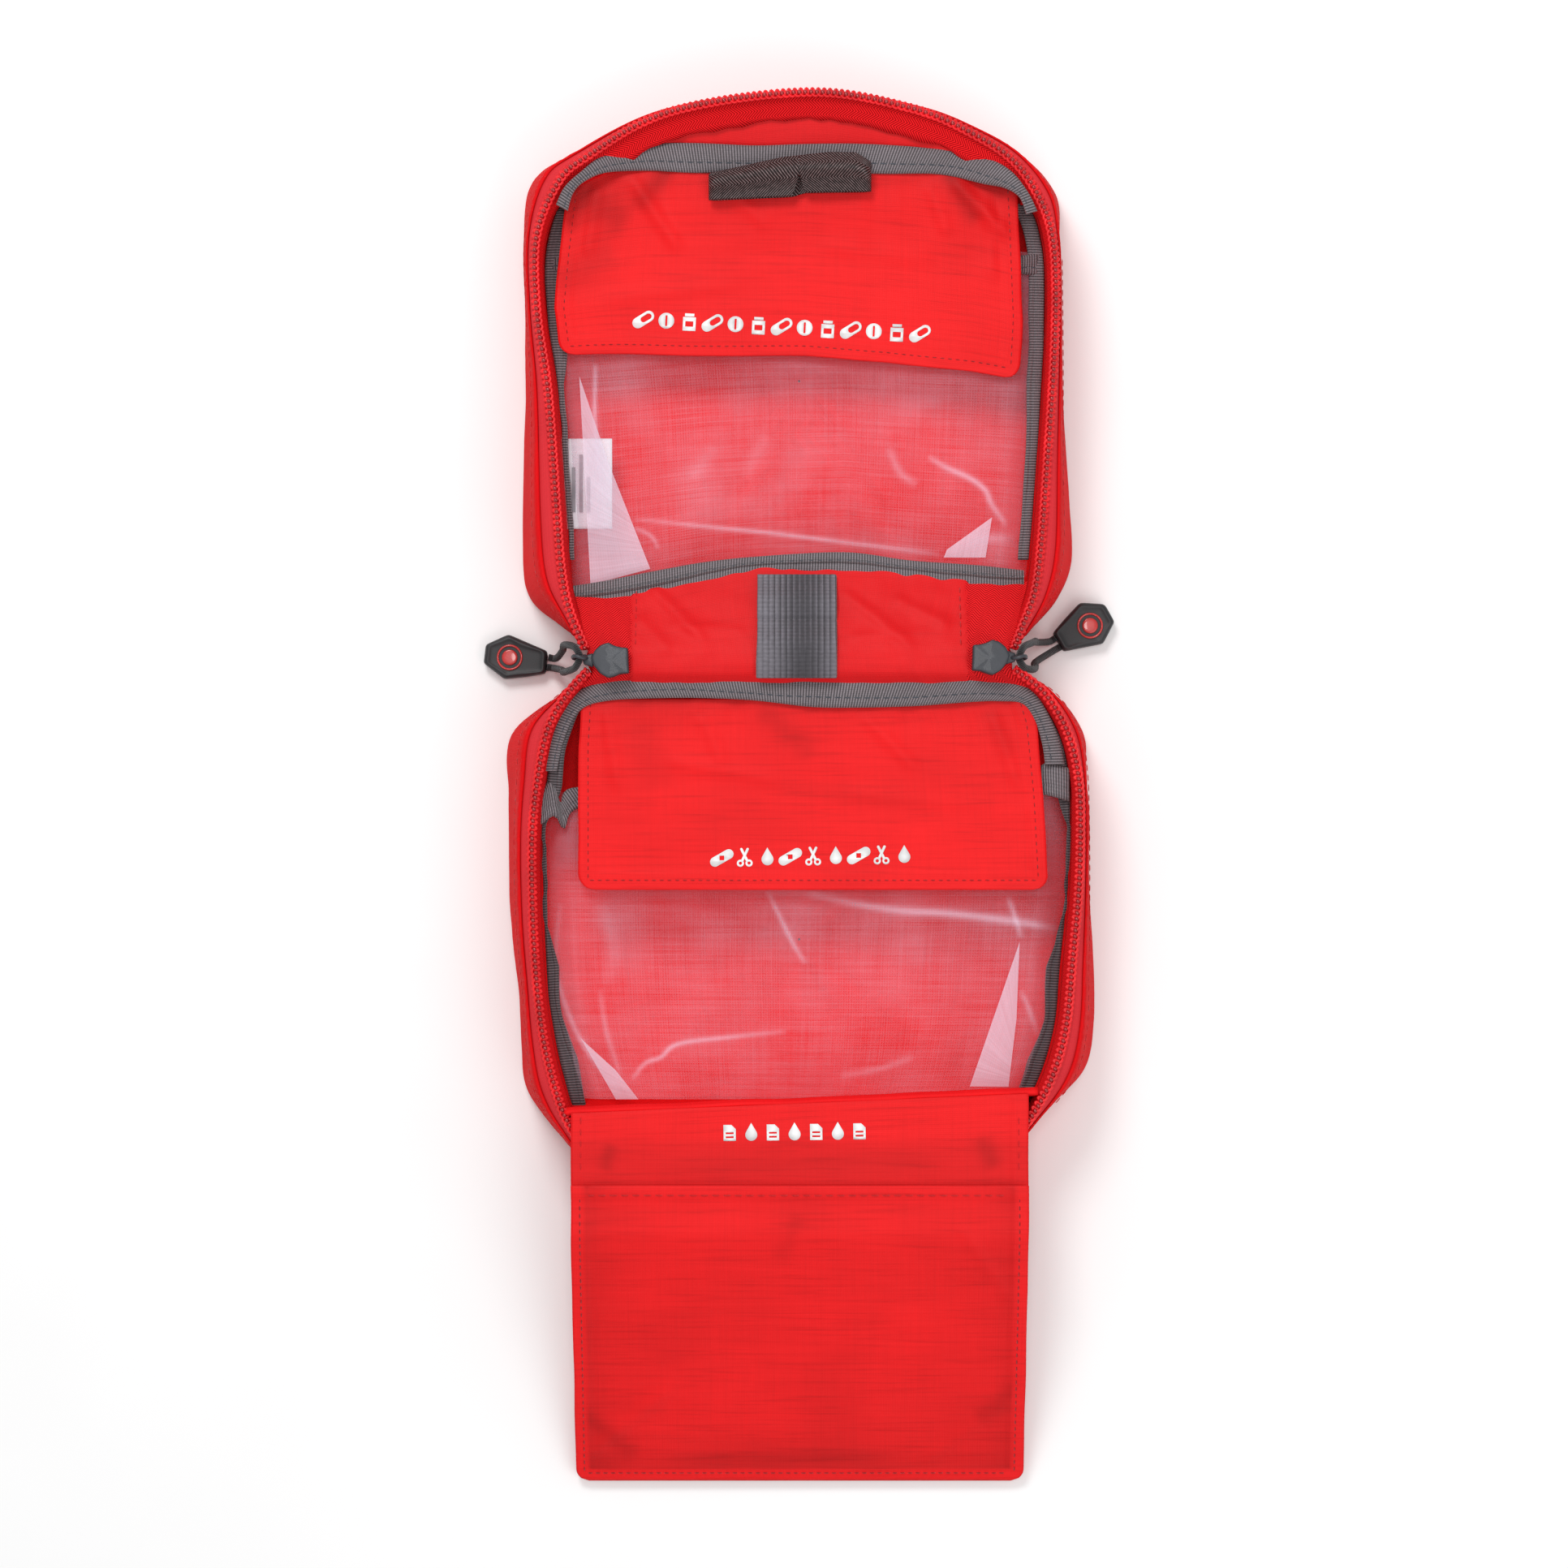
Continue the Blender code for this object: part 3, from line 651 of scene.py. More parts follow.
TRAY_OUTLINE = [
    (-65, -4, -67, -7), (-72, -12, -76, -11.6), (-77.5, -22, -90.5, -23.5), (-80.6, -37, -91.6, -42),
    (-82.4, -55, -91.6, -60), (-82.2, -79, -90.7, -83), (-81, -100, -88.5, -103),
    (-79, -117, -87.6, -121), (-75.5, -132, -86, -135), (-71, -144, -77.5, -147), (-62, -155, -66, -158),
    (-38, -168, -40, -170.5), (0, -174, 0, -176), (38, -167.5, 40, -170), (60, -154, 64, -156),
    (70.5, -143, 78.5, -141), (78, -129, 90, -129), (82.3, -113, 93, -115), (84.2, -93, 92.7, -94),
    (86, -73, 91.8, -72), (86.6, -53, 91.2, -50), (86, -37, 90.6, -34), (82.6, -23, 89, -21.5),
    (75.5, -11, 80, -10.0), (66, -3.5, 68, -6)]
END_DIP = {"upper": 2.0, "lower": 1.1}
SIGN = {"upper": 1, "lower": -1}
BODY = {"upper": "upper_half", "lower": "lower_half"}

# Sections across a tray's side: share of the way from the rim out to the base, and height
EDGE_SECTION = [(0.05, 33.2), (0.14, 33.15), (0.26, 32.5), (0.37, 31.5), (0.42, 30.6)]
WALL_SECTION = [(0.39, 30.2), (0.42, 31.1), (0.46, 31.45), (0.51, 31.1), (0.56, 29.5), (0.66, 24),
                (0.76, 18.5), (0.85, 13.5), (0.93, 8.5), (0.985, 4.8), (1.0, 3.2), (0.985, 1.9),
                (0.93, 0.9), (0.82, 0.3)]


def rim_z(name, s):
    return RIM - 0.3 - END_DIP[name] * soft_step((np.abs(s) - 130) / 15)


class Tray:
    """One tray's smoothed rim and base lines, with outward directions."""

    def __init__(self, name, outline):
        self.name = name
        ring = smooth(outline, 10)
        self.rim, self.base = ring[:, :2], ring[:, 2:]
        tangent = unit(np.gradient(self.rim, axis=0))
        self.out = np.stack([-tangent[:, 1], tangent[:, 0]], axis=1) * SIGN[name]
        self.top = rim_z(name, self.rim[:, 1])
        self.end = soft_step((np.abs(self.rim[:, 1]) - 138) / 22)  # 1 along the far end

    def outside(self, section):
        """Rows of points down the outside, for a section of (share outwards, height)."""
        rows = []
        for share, z in section:
            flat = self.rim + (self.base - self.rim) * share
            rows.append(np.column_stack([flat, z * self.top / (RIM - 0.3)]))
        return np.array(rows)

    def inside(self, section):
        """Rows down the inside, for a section of (distance inwards, at the end, height, at the end)."""
        rows = []
        for side_in, end_in, side_z, end_z in section:
            inwards = side_in + (end_in - side_in) * self.end
            z = side_z + (end_z - side_z) * self.end
            flat = self.rim - self.out * inwards[:, None]
            rows.append(np.column_stack([flat, z * self.top / (RIM - 0.3)]))
        return np.array(rows)

    def rim_x(self, s, side):
        """The rim's x at a distance s from the spine, left or right."""
        half = self.rim[: len(self.rim) // 2] if side < 0 else self.rim[len(self.rim) // 2:][::-1]
        order = np.argsort(np.abs(half[:, 1]))
        return np.interp(np.abs(s), np.abs(half[order, 1]), half[order, 0])


def put(obj, body, slot, *nodes):
    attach(obj, body)
    if nodes:
        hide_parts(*nodes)
    return obj


def make_outer_shell(tray):
    """Outer cloth: gusset wall with its piped top seam, and the back panel."""
    name = tray.name
    rows = tray.outside(WALL_SECTION)
    run = path_run(tray.rim)
    out3 = np.column_stack([tray.out, np.zeros(len(tray.out))])
    for i, (_, z) in enumerate(WALL_SECTION):
        belly = math.sin(math.pi * min(max(z, 0) / 30, 1))
        bulge = np.array([wave(r, z, 22, 1.0) * 1.1 + wave(r, z * 2, 8, 2.0) * 0.35 for r in run]) * belly
        seam = 0.12 * np.sin(run * 2 * math.pi / 3.1) if 2 <= i <= 4 else 0
        rows[i] += out3 * (bulge * (1 - 0.75 * tray.end) + seam)[:, None]
    wall = grid(name + "_wall_cloth", rows, M["wall"], flip=name == "upper")
    thicken(wall, 0.7)
    nodes = [f"{name}_wall_{part}" for part in ("left", "right", "end")]
    put(wall, BODY[name], "red_ripstop", *nodes)
    rings = []
    middle = np.array([0, SIGN[name] * 88.0])
    for k, z in ((1.0, 0.3), (0.985, 0.12), (0.94, 0.1), (0.7, 0.1), (0.4, 0.1), (0.1, 0.1), (0.003, 0.1)):
        flat = middle + (rows[-1][:, :2] - middle) * k
        rings.append(np.column_stack([flat, np.full(len(flat), z)]))
    panel = grid(name + "_back_cloth", rings, M["wall"], closed_columns=True, flip=name == "upper")
    thicken(panel, 1.6)
    put(panel, BODY[name], "red_ripstop", name + "_back_panel")
    seam_line = tray.outside([(0.60, 27.6)])[0] + out3 * 0.5
    side_count = int(np.argmax(tray.end > 0.05))
    threads_made = [stitches("row", even(part, 180), M["thread_red"], 2.1, 1.0, 0.16)
                    for part in (seam_line[:side_count], seam_line[-side_count:])]
    put(join(name + "_wall_seam_thread", threads_made), BODY[name], "red_ripstop")


def make_zip(tray):
    """Zip tape on both sides of the coil, and the coil: a helix of filament on a core cord."""
    name = tray.name
    edge_rows = tray.outside(EDGE_SECTION)
    run = path_run(tray.rim)
    edge_rows[1:4, :, 2] += 0.12 * np.array([wave(r, 0, 9, 3.0) for r in run])
    edge = grid(name + "_tape_edge", edge_rows, M["tape_edge"], flip=name == "upper")
    thicken(edge, 0.4)
    section = [(0.2, 0.3, 33.1, 33.0), (0.9, 2.0, 32.2, 32.2), (1.5, 4.2, 30.8, 31.0),
               (2.1, 6.4, 28.6, 29.6), (2.5, 7.6, 26.4, 29.0)]
    rows = tray.inside(section)
    ripple = np.array([wave(r, 0, 11, 5.0) + 0.5 * wave(r, 0, 4.5, 6.0) for r in run])
    rows[-1] -= np.column_stack([tray.out * (1.3 * ripple * tray.end)[:, None], 0.3 * ripple])
    inner = grid(name + "_zip_tape_cloth", rows, M["tape"], flip=name == "lower")
    thicken(inner, 0.45)
    put(inner, BODY[name], "zip_tape", name + "_zip_tape")
    put(edge, BODY[name], "zip_tape")

    axis = np.column_stack([tray.rim, tray.top - 1.1])
    length = path_run(axis)[-1]
    pitch, per_turn = 1.8, 12
    count = int(length / pitch) * per_turn
    line = even(axis, count + 1)
    tangent, side = level_sides(line)
    up = np.cross(side, tangent)
    angle = (np.arange(count + 1) * 2 * math.pi / per_turn)[:, None]
    across, forward, lift = 1.22 * np.cos(angle), 0.80 * np.sin(angle), 0.30 * np.cos(angle + 1)
    coil = line + side * across + tangent * forward + up * lift
    coil_piece = round_tube(name + "_coil_filament", coil + [0, 0, 0.35], 0.46, M["coil"], 7)
    core = round_tube(name + "_coil_core", even(axis - [0, 0, 0.2], 260), 0.95, M["coil"], 10)
    put(coil_piece, BODY[name], "zip_coil", name + "_zip_coil")
    put(core, BODY[name], "zip_coil")
    centres = line[per_turn // 4::per_turn] + [0, 0, 0.62]
    put(beads(name + "_coil_heads", centres, 0.78, M["coil_head"]), BODY[name], "zip_coil")


def beads(name, centres, radius, mat):
    """Small rounded heads, one at each centre, as one mesh."""
    rings, around = 6, 10
    verts, faces = [], []
    for centre in centres:
        base = len(verts)
        verts.append(tuple(centre + [0, 0, -radius]))
        for i in range(1, rings):
            tilt = math.pi * i / rings
            for j in range(around):
                turn = 2 * math.pi * j / around
                verts.append(tuple(centre + radius * np.array([math.sin(tilt) * math.cos(turn),
                                                               math.sin(tilt) * math.sin(turn),
                                                               -math.cos(tilt)])))
        verts.append(tuple(centre + [0, 0, radius]))
        last = len(verts) - 1
        for j in range(around):
            k = (j + 1) % around
            faces.append([base, base + 1 + k, base + 1 + j])
            faces.append([last, last - around + j, last - around + k])
            for i in range(rings - 2):
                q = base + 1 + i * around
                faces.append([q + j, q + k, q + around + k, q + around + j])
    return new_object(name, verts, faces, mat)


def make_lining(tray):
    """The tray's inner cloth: side walls and floor, which show through the mesh."""
    name = tray.name
    section = [(2.0, 7.0, 27.2, 28.6), (2.4, 7.2, 22, 22), (1.6, 6.0, 14, 14), (1.0, 4.5, 8, 8),
               (2.6, 4.5, 4.9, 4.9)]
    rows = list(tray.inside(section))
    middle = np.array([0, SIGN[name] * 88.0])
    for k in (0.93, 0.84, 0.74, 0.62, 0.5, 0.36, 0.2, 0.08, 0.004):
        flat = middle + (rows[4][:, :2] - middle) * k
        z = 4.4 + 0.35 * waves(*flat.T, 30, 4.0) + 0.2 * waves(*flat.T, 11, 8.0)
        rows.append(np.column_stack([flat, z]))
    lining = grid(name + "_lining_cloth", rows, M["lining"], closed_columns=True, flip=name == "lower")
    put(lining, BODY[name], "red_lining")


# ---------------------------------------------------------------- pockets

def binding(name, first, second, height, body, node, count=120, wobble=0.35, seed=1.0, seam=0.66,
            mat="binding", thread=True):
    """A grosgrain binding between two flat edge lines; its height is a function of x and s."""
    thickness = 1.3
    edges = []
    for k, points in enumerate((first, second)):
        edge = even(smooth(points, 10), count)
        zs = [height(x, s) + wobble * wave(x + 50, s, 8, seed + k) for x, s in edge]
        edges.append(np.column_stack([edge, zs]))
    put(tape_band(name, *edges, M[mat], thickness, seam), body, "grey_binding", node)
    if thread:
        line = edges[0] + (edges[1] - edges[0]) * seam
        line[:, 2] += thickness * 0.78
        put(stitches(name + "_thread", line, M["thread_grey"], 2.2, 0.8, 0.2), body, "grey_binding")


LID_MESH_S = (127.0, 29.0)
TRAY_MESH_S = (-41.5, -137.0)
SIDE_GAP = 2.8  # from the rim in to the mesh's sewn sides


def lid_mesh_end(x):
    """The lid mesh's low edge, sewn in under the bottom binding."""
    return follow(x, ((-72, 21), (-62, 22.5), (-42, 26.3), (-29, 28.6), (-12, 30.2), (14, 31.2), (34, 29),
                      (55, 27.5), (70, 26)))


def mesh_sheet(tray, s_range, z_middle, side_drop, shape, end_line=None):
    """A pocket's mesh, from side wall to side wall; it turns down where it meets them."""
    columns, rows = 230, 170
    s_line = np.linspace(*s_range, rows)
    left = tray.rim_x(s_line, -1) + SIDE_GAP
    right = tray.rim_x(s_line, 1) - SIDE_GAP
    t = np.linspace(0, 1, columns)
    xs = left[:, None] + (right - left)[:, None] * t[None, :]
    ss = np.repeat(s_line[:, None], columns, axis=1)
    if end_line:
        ss = s_range[0] + (end_line(xs) - s_range[0]) * np.linspace(0, 1, rows)[:, None]
    near = np.minimum(xs - left[:, None], right[:, None] - xs)
    z = z_middle - side_drop * np.clip(1 - near / 9.0, 0, 1) ** 1.6
    z = z + shape(xs, ss)
    return np.stack([xs, ss, z], axis=2)


def bend(xs, ss):
    """The same places pushed about a little, so that straight creases come out curved."""
    return xs + 5 * waves(xs, ss, 26, 27.0), ss + 4 * waves(xs, ss, 22, 28.0)


def crease(xs, ss, points, width):
    """How much each place belongs to a smooth curved crease, fading at the crease's two ends."""
    line = smooth(points, 5)
    nearest = np.full(xs.shape, 1e9)
    fade = np.zeros(xs.shape)
    for k, (a, b) in enumerate(zip(line, line[1:])):
        d = b - a
        t = np.clip(((xs - a[0]) * d[0] + (ss - a[1]) * d[1]) / (d @ d), 0, 1)
        gap = np.hypot(xs - a[0] - t * d[0], ss - a[1] - t * d[1])
        run = (k + t) / (len(line) - 1)
        fade = np.where(gap < nearest, np.sqrt(np.clip(np.sin(math.pi * run), 0, 1)), fade)
        nearest = np.minimum(gap, nearest)
    return np.exp(-(nearest / width) ** 2) * fade


# (points along the crease, its half width, how much whiter the mesh is painted on it: a painted highlight
# where the crease catches light)
LID_CREASES = [
    ([(-52, 43.5), (-28, 41), (-8, 39), (18, 35.7), (44, 32.5)], 0.8, 0.22),
    ([(27.8, 66), (31.4, 58), (37, 54)], 1.4, 0.14),
    ([(40, 63), (46, 59.5), (53.5, 56), (58, 52.4), (60, 48), (65, 41)], 1.0, 0.30),
    ([(51, 36), (60, 37.5), (68, 37)], 1.6, 0.16),
    ([(-63.5, 92), (-63.7, 74), (-62, 53)], 0.7, 0.30),
    ([(-10, 70), (-17, 56)], 2.5, 0.06),
    ([(-26, 66), (-34, 56)], 2.5, 0.06),
    ([(-44, 34), (-46, 38), (-52, 41)], 0.8, 0.16)]
TRAY_CREASES = [
    ([(-10, -72), (-5, -82.5), (-1.4, -89.6), (2, -95)], 0.8, 0.22),
    ([(2, -73), (28, -78), (47, -79.3), (72, -82.5), (82, -85)], 1.3, 0.28),
    ([(-52, -131), (-48, -126), (-43, -124), (-38, -120), (-24, -118), (-4, -116)], 0.8, 0.28),
    ([(64.9, -74), (67, -80), (69, -87)], 0.9, 0.22),
    ([(-74.6, -76), (-76.5, -94), (-74, -105.7), (-68.3, -118.6), (-60.7, -129), (-55.6, -136.7)], 0.9,
     0.25),
    ([(-62, -103), (-60, -116), (-55.6, -130)], 0.9, 0.14),
    ([(12.5, -130), (24, -128), (36, -124)], 1.2, 0.10),
    ([(68.7, -103), (72, -110), (75, -118)], 0.9, 0.18),
    ([(-62, -76), (-58, -90), (-60, -102)], 3.0, 0.08)]


def lid_mesh_shape(xs, ss):
    fine = sum(0.5 * crease(xs, ss, points, width) for points, width, _ in LID_CREASES)
    xs, ss = bend(xs, ss)
    z = fine + 0.9 * waves(xs, ss, 34, 11.0) + 0.35 * waves(xs, ss * 0.6, 13, 12.0)
    middle_folds = [(x - 8, 52 + k, x + 10, 62 - k, 2.6, 0.6) for k, x in enumerate((-34, -14, 6))]
    return z + ridges(xs, ss, middle_folds)


def tray_mesh_shape(xs, ss):
    fine = sum(0.5 * crease(xs, ss, points, width) for points, width, _ in TRAY_CREASES)
    xs, ss = bend(xs, ss)
    return fine + 1.0 * waves(xs, ss, 36, 21.0) + 0.35 * waves(xs * 0.8, ss, 12, 22.0)


def paint(obj, name, values):
    """A value at each point of a grid, before it is thickened, for its material."""
    attribute = obj.data.attributes.new(name, "FLOAT", "POINT")
    attribute.data.foreach_set("value", np.clip(values, 0, 1).astype(np.float32).ravel())


def paint_folds_and_highlights(obj, xs, ss, creases):
    """Marks where the mesh lies double or turns down at its sides, with a painted highlight where it
    catches light on a crease.
    """
    near = np.minimum(xs - xs[:, :1], xs[:, -1:] - xs)
    fold = 0.07 * np.clip(waves(xs, ss, 17, 35.0), 0, 1) + 0.16 * np.exp(-(near / 7) ** 2)
    for points, width, strength in creases:
        fold = fold + strength * crease(xs, ss, points, width)
    paint(obj, "fold", fold)


def patch(name, corners, z, bulge, half, seed):
    """A small doubled fold of mesh: four corners, filled and slightly crumpled."""
    a, b, c, d = [np.array(p, float) for p in corners]
    u = np.linspace(0, 1, 26)[:, None, None]
    v = np.linspace(0, 1, 26)[None, :, None]
    flat = (a * (1 - u) + b * u) * (1 - v) + (d * (1 - u) + c * u) * v
    swell = np.sin(math.pi * u[..., 0]) * np.sin(math.pi * v[..., 0])
    zs = z + bulge * swell + 0.3 * waves(flat[..., 0], flat[..., 1], 9, seed)
    put(grid(name, np.dstack([flat, zs]), M["mesh_double"]), BODY[half], "clear_mesh")


def make_lid_pocket(tray):
    body = BODY["upper"]
    rows = mesh_sheet(tray, LID_MESH_S, 20.2, 9.0, lid_mesh_shape, lid_mesh_end)
    mesh = grid("upper_mesh_cloth", rows, M["mesh"])
    paint_folds_and_highlights(mesh, rows[..., 0], rows[..., 1], LID_CREASES)
    put(mesh, body, "clear_mesh", "upper_mesh_panel")
    patch("upper_mesh_fold_left", [(-68.5, 88), (-65, 23), (-46.4, 28), (-59, 60)], 20.7, 0.7, "upper", 31)
    patch("upper_mesh_fold_right", [(60, 44), (46, 34), (45, 31.5), (58, 31.5)], 21.2, 0.5, "upper", 32)
    mouth_left = [(-77.5, 126), (-40, 125), (0, 124.5), (40, 125), (66, 125.5), (74.5, 127)]
    mouth_right = [(-77.5, 121), (-40, 120), (0, 119.5), (40, 120), (66, 120), (74.5, 119.5)]
    binding("upper_mouth_band", mouth_left, mouth_right,
            lambda x, s: 20.1 - 3 * soft_step((abs(x) - 66) / 10), body, "upper_mouth_binding", seed=4,
            wobble=0.3)
    for side, node in ((-1, "left"), (1, "right")):
        s_line = np.linspace(142, 31, 60)
        edge = tray.rim_x(s_line, side)
        wander = waves(s_line, s_line * 0, 15, 3.0 + side)
        widths = (1.4, 1.6, 1.8, 4.5, 5.5) if side < 0 else (3.0, 3.4, 4.2, 4.4, 5.0)
        wide = np.interp(s_line, (30, 60, 86, 96, 142), widths)
        outer = np.column_stack([edge - side * (2.4 + 0.2 * wander), s_line])
        inner = np.column_stack([edge - side * (2.6 + wide + 0.7 * wander), s_line])
        binding(f"upper_seam_band_{node}", outer, inner, lambda x, s: 17.2, body,
                f"upper_seam_binding_{node}", seed=6 + side, wobble=0.8, thread=False)
    top = [(-72, 22.5), (-61.7, 24), (-42.3, 27.8), (-29, 30.1), (-12.6, 31.8), (14.4, 33.1), (34.1, 30.6),
           (55, 29.1), (69.9, 27.5)]
    low = [(-72, 14.6), (-56.7, 15.4), (-39.5, 18.6), (-26.4, 23), (-12.6, 26), (11.4, 26), (28, 25),
           (46.7, 22.5), (64.3, 21), (69.9, 22)]
    binding("upper_bottom_band", top, low, lambda x, s: 22.5 - 0.4 * soft_step((abs(x) - 50) / 20), body,
            "upper_bottom_binding", wobble=0.6, seed=9, seam=0.36, count=170)


def make_tray_pocket(tray):
    body = BODY["lower"]
    rows = mesh_sheet(tray, TRAY_MESH_S, 22.6, 10.0, tray_mesh_shape)
    mesh = grid("lower_mesh_cloth", rows, M["mesh"], flip=True)
    paint_folds_and_highlights(mesh, rows[..., 0], rows[..., 1], TRAY_CREASES)
    put(mesh, body, "clear_mesh", "lower_mesh_panel")
    patch("lower_mesh_fold_left", [(-68, -118), (-57, -137), (-50, -137), (-57, -128)], 23.4, 0.4,
          "lower", 34)
    patch("lower_mesh_fold_right", [(68.5, -88), (53, -133), (65, -133), (67.5, -112)], 23.5, 0.5,
          "lower", 35)
    first = [(-81, -44), (-77, -37.5), (-74.3, -45), (-69.8, -40), (-40, -42), (0, -41.5), (40, -41),
             (70, -37), (76, -32.5), (83.5, -34)]
    second = [(-81, -52.5), (-76, -49), (-73, -53), (-68, -46.5), (-40, -47), (0, -46.5), (40, -46.5),
              (70, -44), (76, -42.5), (83.5, -44.5)]
    binding("lower_mouth_band", first, second,
            lambda x, s: 23.2 + 4.3 * soft_step((abs(x) - 70) / 11), body, "lower_mouth_binding",
            seed=14, wobble=0.4, thread=False)
    for side, node in ((-1, "left"), (1, "right")):
        s_line = np.linspace(-16, -139, 70)
        edge = tray.rim_x(s_line, side)
        wander = waves(s_line, s_line * 0, 14, 8.0 + side)
        wide = follow(-s_line, ((16, 4.2), (40, 4.6), (46, 3.0), (52, 0.9), (84, 0.9), (96, 4.2),
                                (112, 3.6), (125, 5.6), (139, 4.6)))
        outer = np.column_stack([edge - side * (2.5 + 0.2 * wander), s_line])
        inner = np.column_stack([edge - side * (2.5 + wide + 0.8 * wander), s_line])
        # These side bindings take the darkened binding cloth, painted shade where they lie under the coil.
        binding(f"lower_seam_band_{node}", outer, inner,
                lambda x, s: 27.5 - 9.5 * soft_step((abs(s) - 20) / 70), body,
                f"lower_seam_binding_{node}", seed=16 + side, wobble=1.3, seam=0.6, mat="binding_shaded",
                thread=False)
    top = [(-79.0, -35), (-77.4, -26), (-73.2, -15.7), (-67.6, -9.8), (-61.9, -7.4), (-53.9, -5.9),
           (-38.8, -4.7), (-21.3, -6.4), (-6.3, -6.9), (3.8, -5.9), (18.8, -6.4), (36.3, -6.9),
           (53.9, -5.9), (65.2, -7.0), (71.6, -9.6), (76.4, -16), (80.4, -25), (82.2, -33)]
    low = [(-75, -35), (-73.4, -27.3), (-70.4, -19.6), (-66, -15), (-58.6, -13.2), (-48.9, -12.6),
           (-31.3, -12.4), (-13.8, -13.2), (3.8, -15.2), (18.8, -15.4), (36.3, -14.9), (53.9, -13.6),
           (62, -13.4), (69, -14.2), (73.0, -19.6), (75.2, -27), (76, -33)]
    binding("lower_top_band", top, low, lambda x, s: 29.6 - 1.2 * soft_step((abs(x) - 50) / 20), body,
            "lower_top_binding", seed=18, wobble=0.35, count=230)


# ---------------------------------------------------------------- flaps and print

def corner_pull(run, span, corner):
    """How far a sheet's sides come in over its last stretch, to round its corners."""
    into = np.clip(run - (span - corner), 0, corner)
    return corner - np.sqrt(np.maximum(corner**2 - into**2, 0))


def flap_sheet(left, right, s_root, s_free, corner, columns=150, rows=100):
    """A flap as a grid whose two free corners are rounded; edges follow smooth left and right lines."""
    s_line = np.linspace(s_root, s_free, rows)
    span = s_root - s_free
    run = s_root - s_line
    lefts = follow(run, left)
    rights = follow(run, right)
    pull = corner_pull(run, span, corner)
    lefts, rights = lefts + pull, rights - pull
    wobble = 0.35 * waves(s_line, s_line * 0, 14, 47.0)
    lefts, rights = lefts + wobble, rights + wobble
    t = np.linspace(0, 1, columns)
    xs = lefts[:, None] + (rights - lefts)[:, None] * t[None, :]
    return xs, np.repeat(s_line[:, None], columns, axis=1)


def hem_height(xs, ss, left, right, free_s):
    """Extra thickness of a turned hem along the free edges."""
    width, step = 6.0, 0.4
    near = np.minimum(np.minimum(xs - left, right - xs), np.abs(ss - free_s))
    return step * soft_step((width - near) / 0.8)


def lid_band_s(x):
    """Middle line of the lid's top binding, which the flap's root and the end lining run under."""
    return follow(x, ((-73, 148.3), (-68, 150.8), (-60, 153.6), (-48, 155.4), (-30, 155.6), (0, 155.4),
                      (36, 154.6), (54, 152.2), (64, 149.6), (71, 147.0)))


def lid_flap_s(xs, ss):
    """Moves the lid flap's straight rows: its root follows the binding and its free edge slants."""
    share = (LID_FLAP_S[0] - ss) / (LID_FLAP_S[0] - LID_FLAP_S[1])
    free = follow(xs, ((-76, 94.4), (-26, 94.3), (2, 93.8), (27, 92.3), (54, 88.9),
                       (66, 86.8))) + 0.3 * np.cos(xs / 9)
    return lid_band_s(xs) * (1 - share) + free * share


def lid_flap_z(xs, ss):
    z = 22.8 + 1.9 * soft_step((ss - 124) / 26)
    z = z + 0.45 * waves(xs, ss * 0.5, 30, 41.0) + 0.22 * waves(xs * 0.35, ss, 7.5, 42.0)
    gather = soft_step((ss - 118) / 30)
    z = z + gather * 0.7 * waves(xs, ss * 0.22, 6.5, 43.0)
    z = z + ridges(xs, ss, ((-52, 149, -38, 128, 2.4, 1.1), (-62, 146, -66, 126, 2.4, 0.8),
                            (48, 148, 64, 132, 2.4, 1.4), (40, 147, 46, 132, 2.4, 0.8),
                            (58, 144, 60, 118, 2.4, 0.7), (-22, 146, -10, 134, 2.4, 0.6),
                            (8, 128, 40, 124, 2.4, 0.5), (-60, 112, -20, 116, 2.4, 0.4)))
    return z


def tray_flap_z(xs, ss):
    z = 28.1 + 0.45 * waves(xs, ss * 0.5, 32, 51.0) + 0.2 * waves(xs * 0.35, ss, 7.5, 52.0)
    gather = soft_step((-30 - ss) / -14)
    z = z + gather * 0.55 * waves(xs, ss * 0.22, 6.0, 53.0)
    z = z + ridges(xs, ss, ((-60, -16, -56, -40, 2.4, 0.8), (-30, -18, -24, -32, 2.4, 0.7),
                            (20, -18, 36, -34, 2.4, 0.8), (60, -18, 68, -40, 2.4, 0.8),
                            (-40, -32, -6, -38, 2.4, 0.6), (16, -42, 60, -46, 2.4, 0.4)))
    return z


def flap_stitches(name, left, right, s_root, s_free, z_of, s_of):
    """Thread rows down both sides and along the free edge."""
    inset, lift = 3.0, 0.42
    span = s_root - s_free
    rows = []
    run = np.linspace(1.0, span - inset, 80)
    for edge, k in ((left, 1), (right, -1)):
        x = follow(run, edge) + k * inset
        rows.append(np.column_stack([x, s_root - run]))
    across = np.linspace(rows[0][-1, 0], rows[1][-1, 0], 80)
    free = np.column_stack([across, np.full(80, s_free + inset)])
    made = []
    for row in rows + [free]:
        row[:, 1] = s_of(row[:, 0], row[:, 1])
        z = z_of(row[:, 0], row[:, 1]) + lift
        made.append(stitches("row", np.column_stack([row, z]), M["thread_dark"], 1.5, 0.9, 0.15))
    return join(name, made)


def disc(x, y, radius, count=28):
    return [(x + radius * math.cos(2 * math.pi * k / count), y + radius * math.sin(2 * math.pi * k / count))
            for k in range(count)]


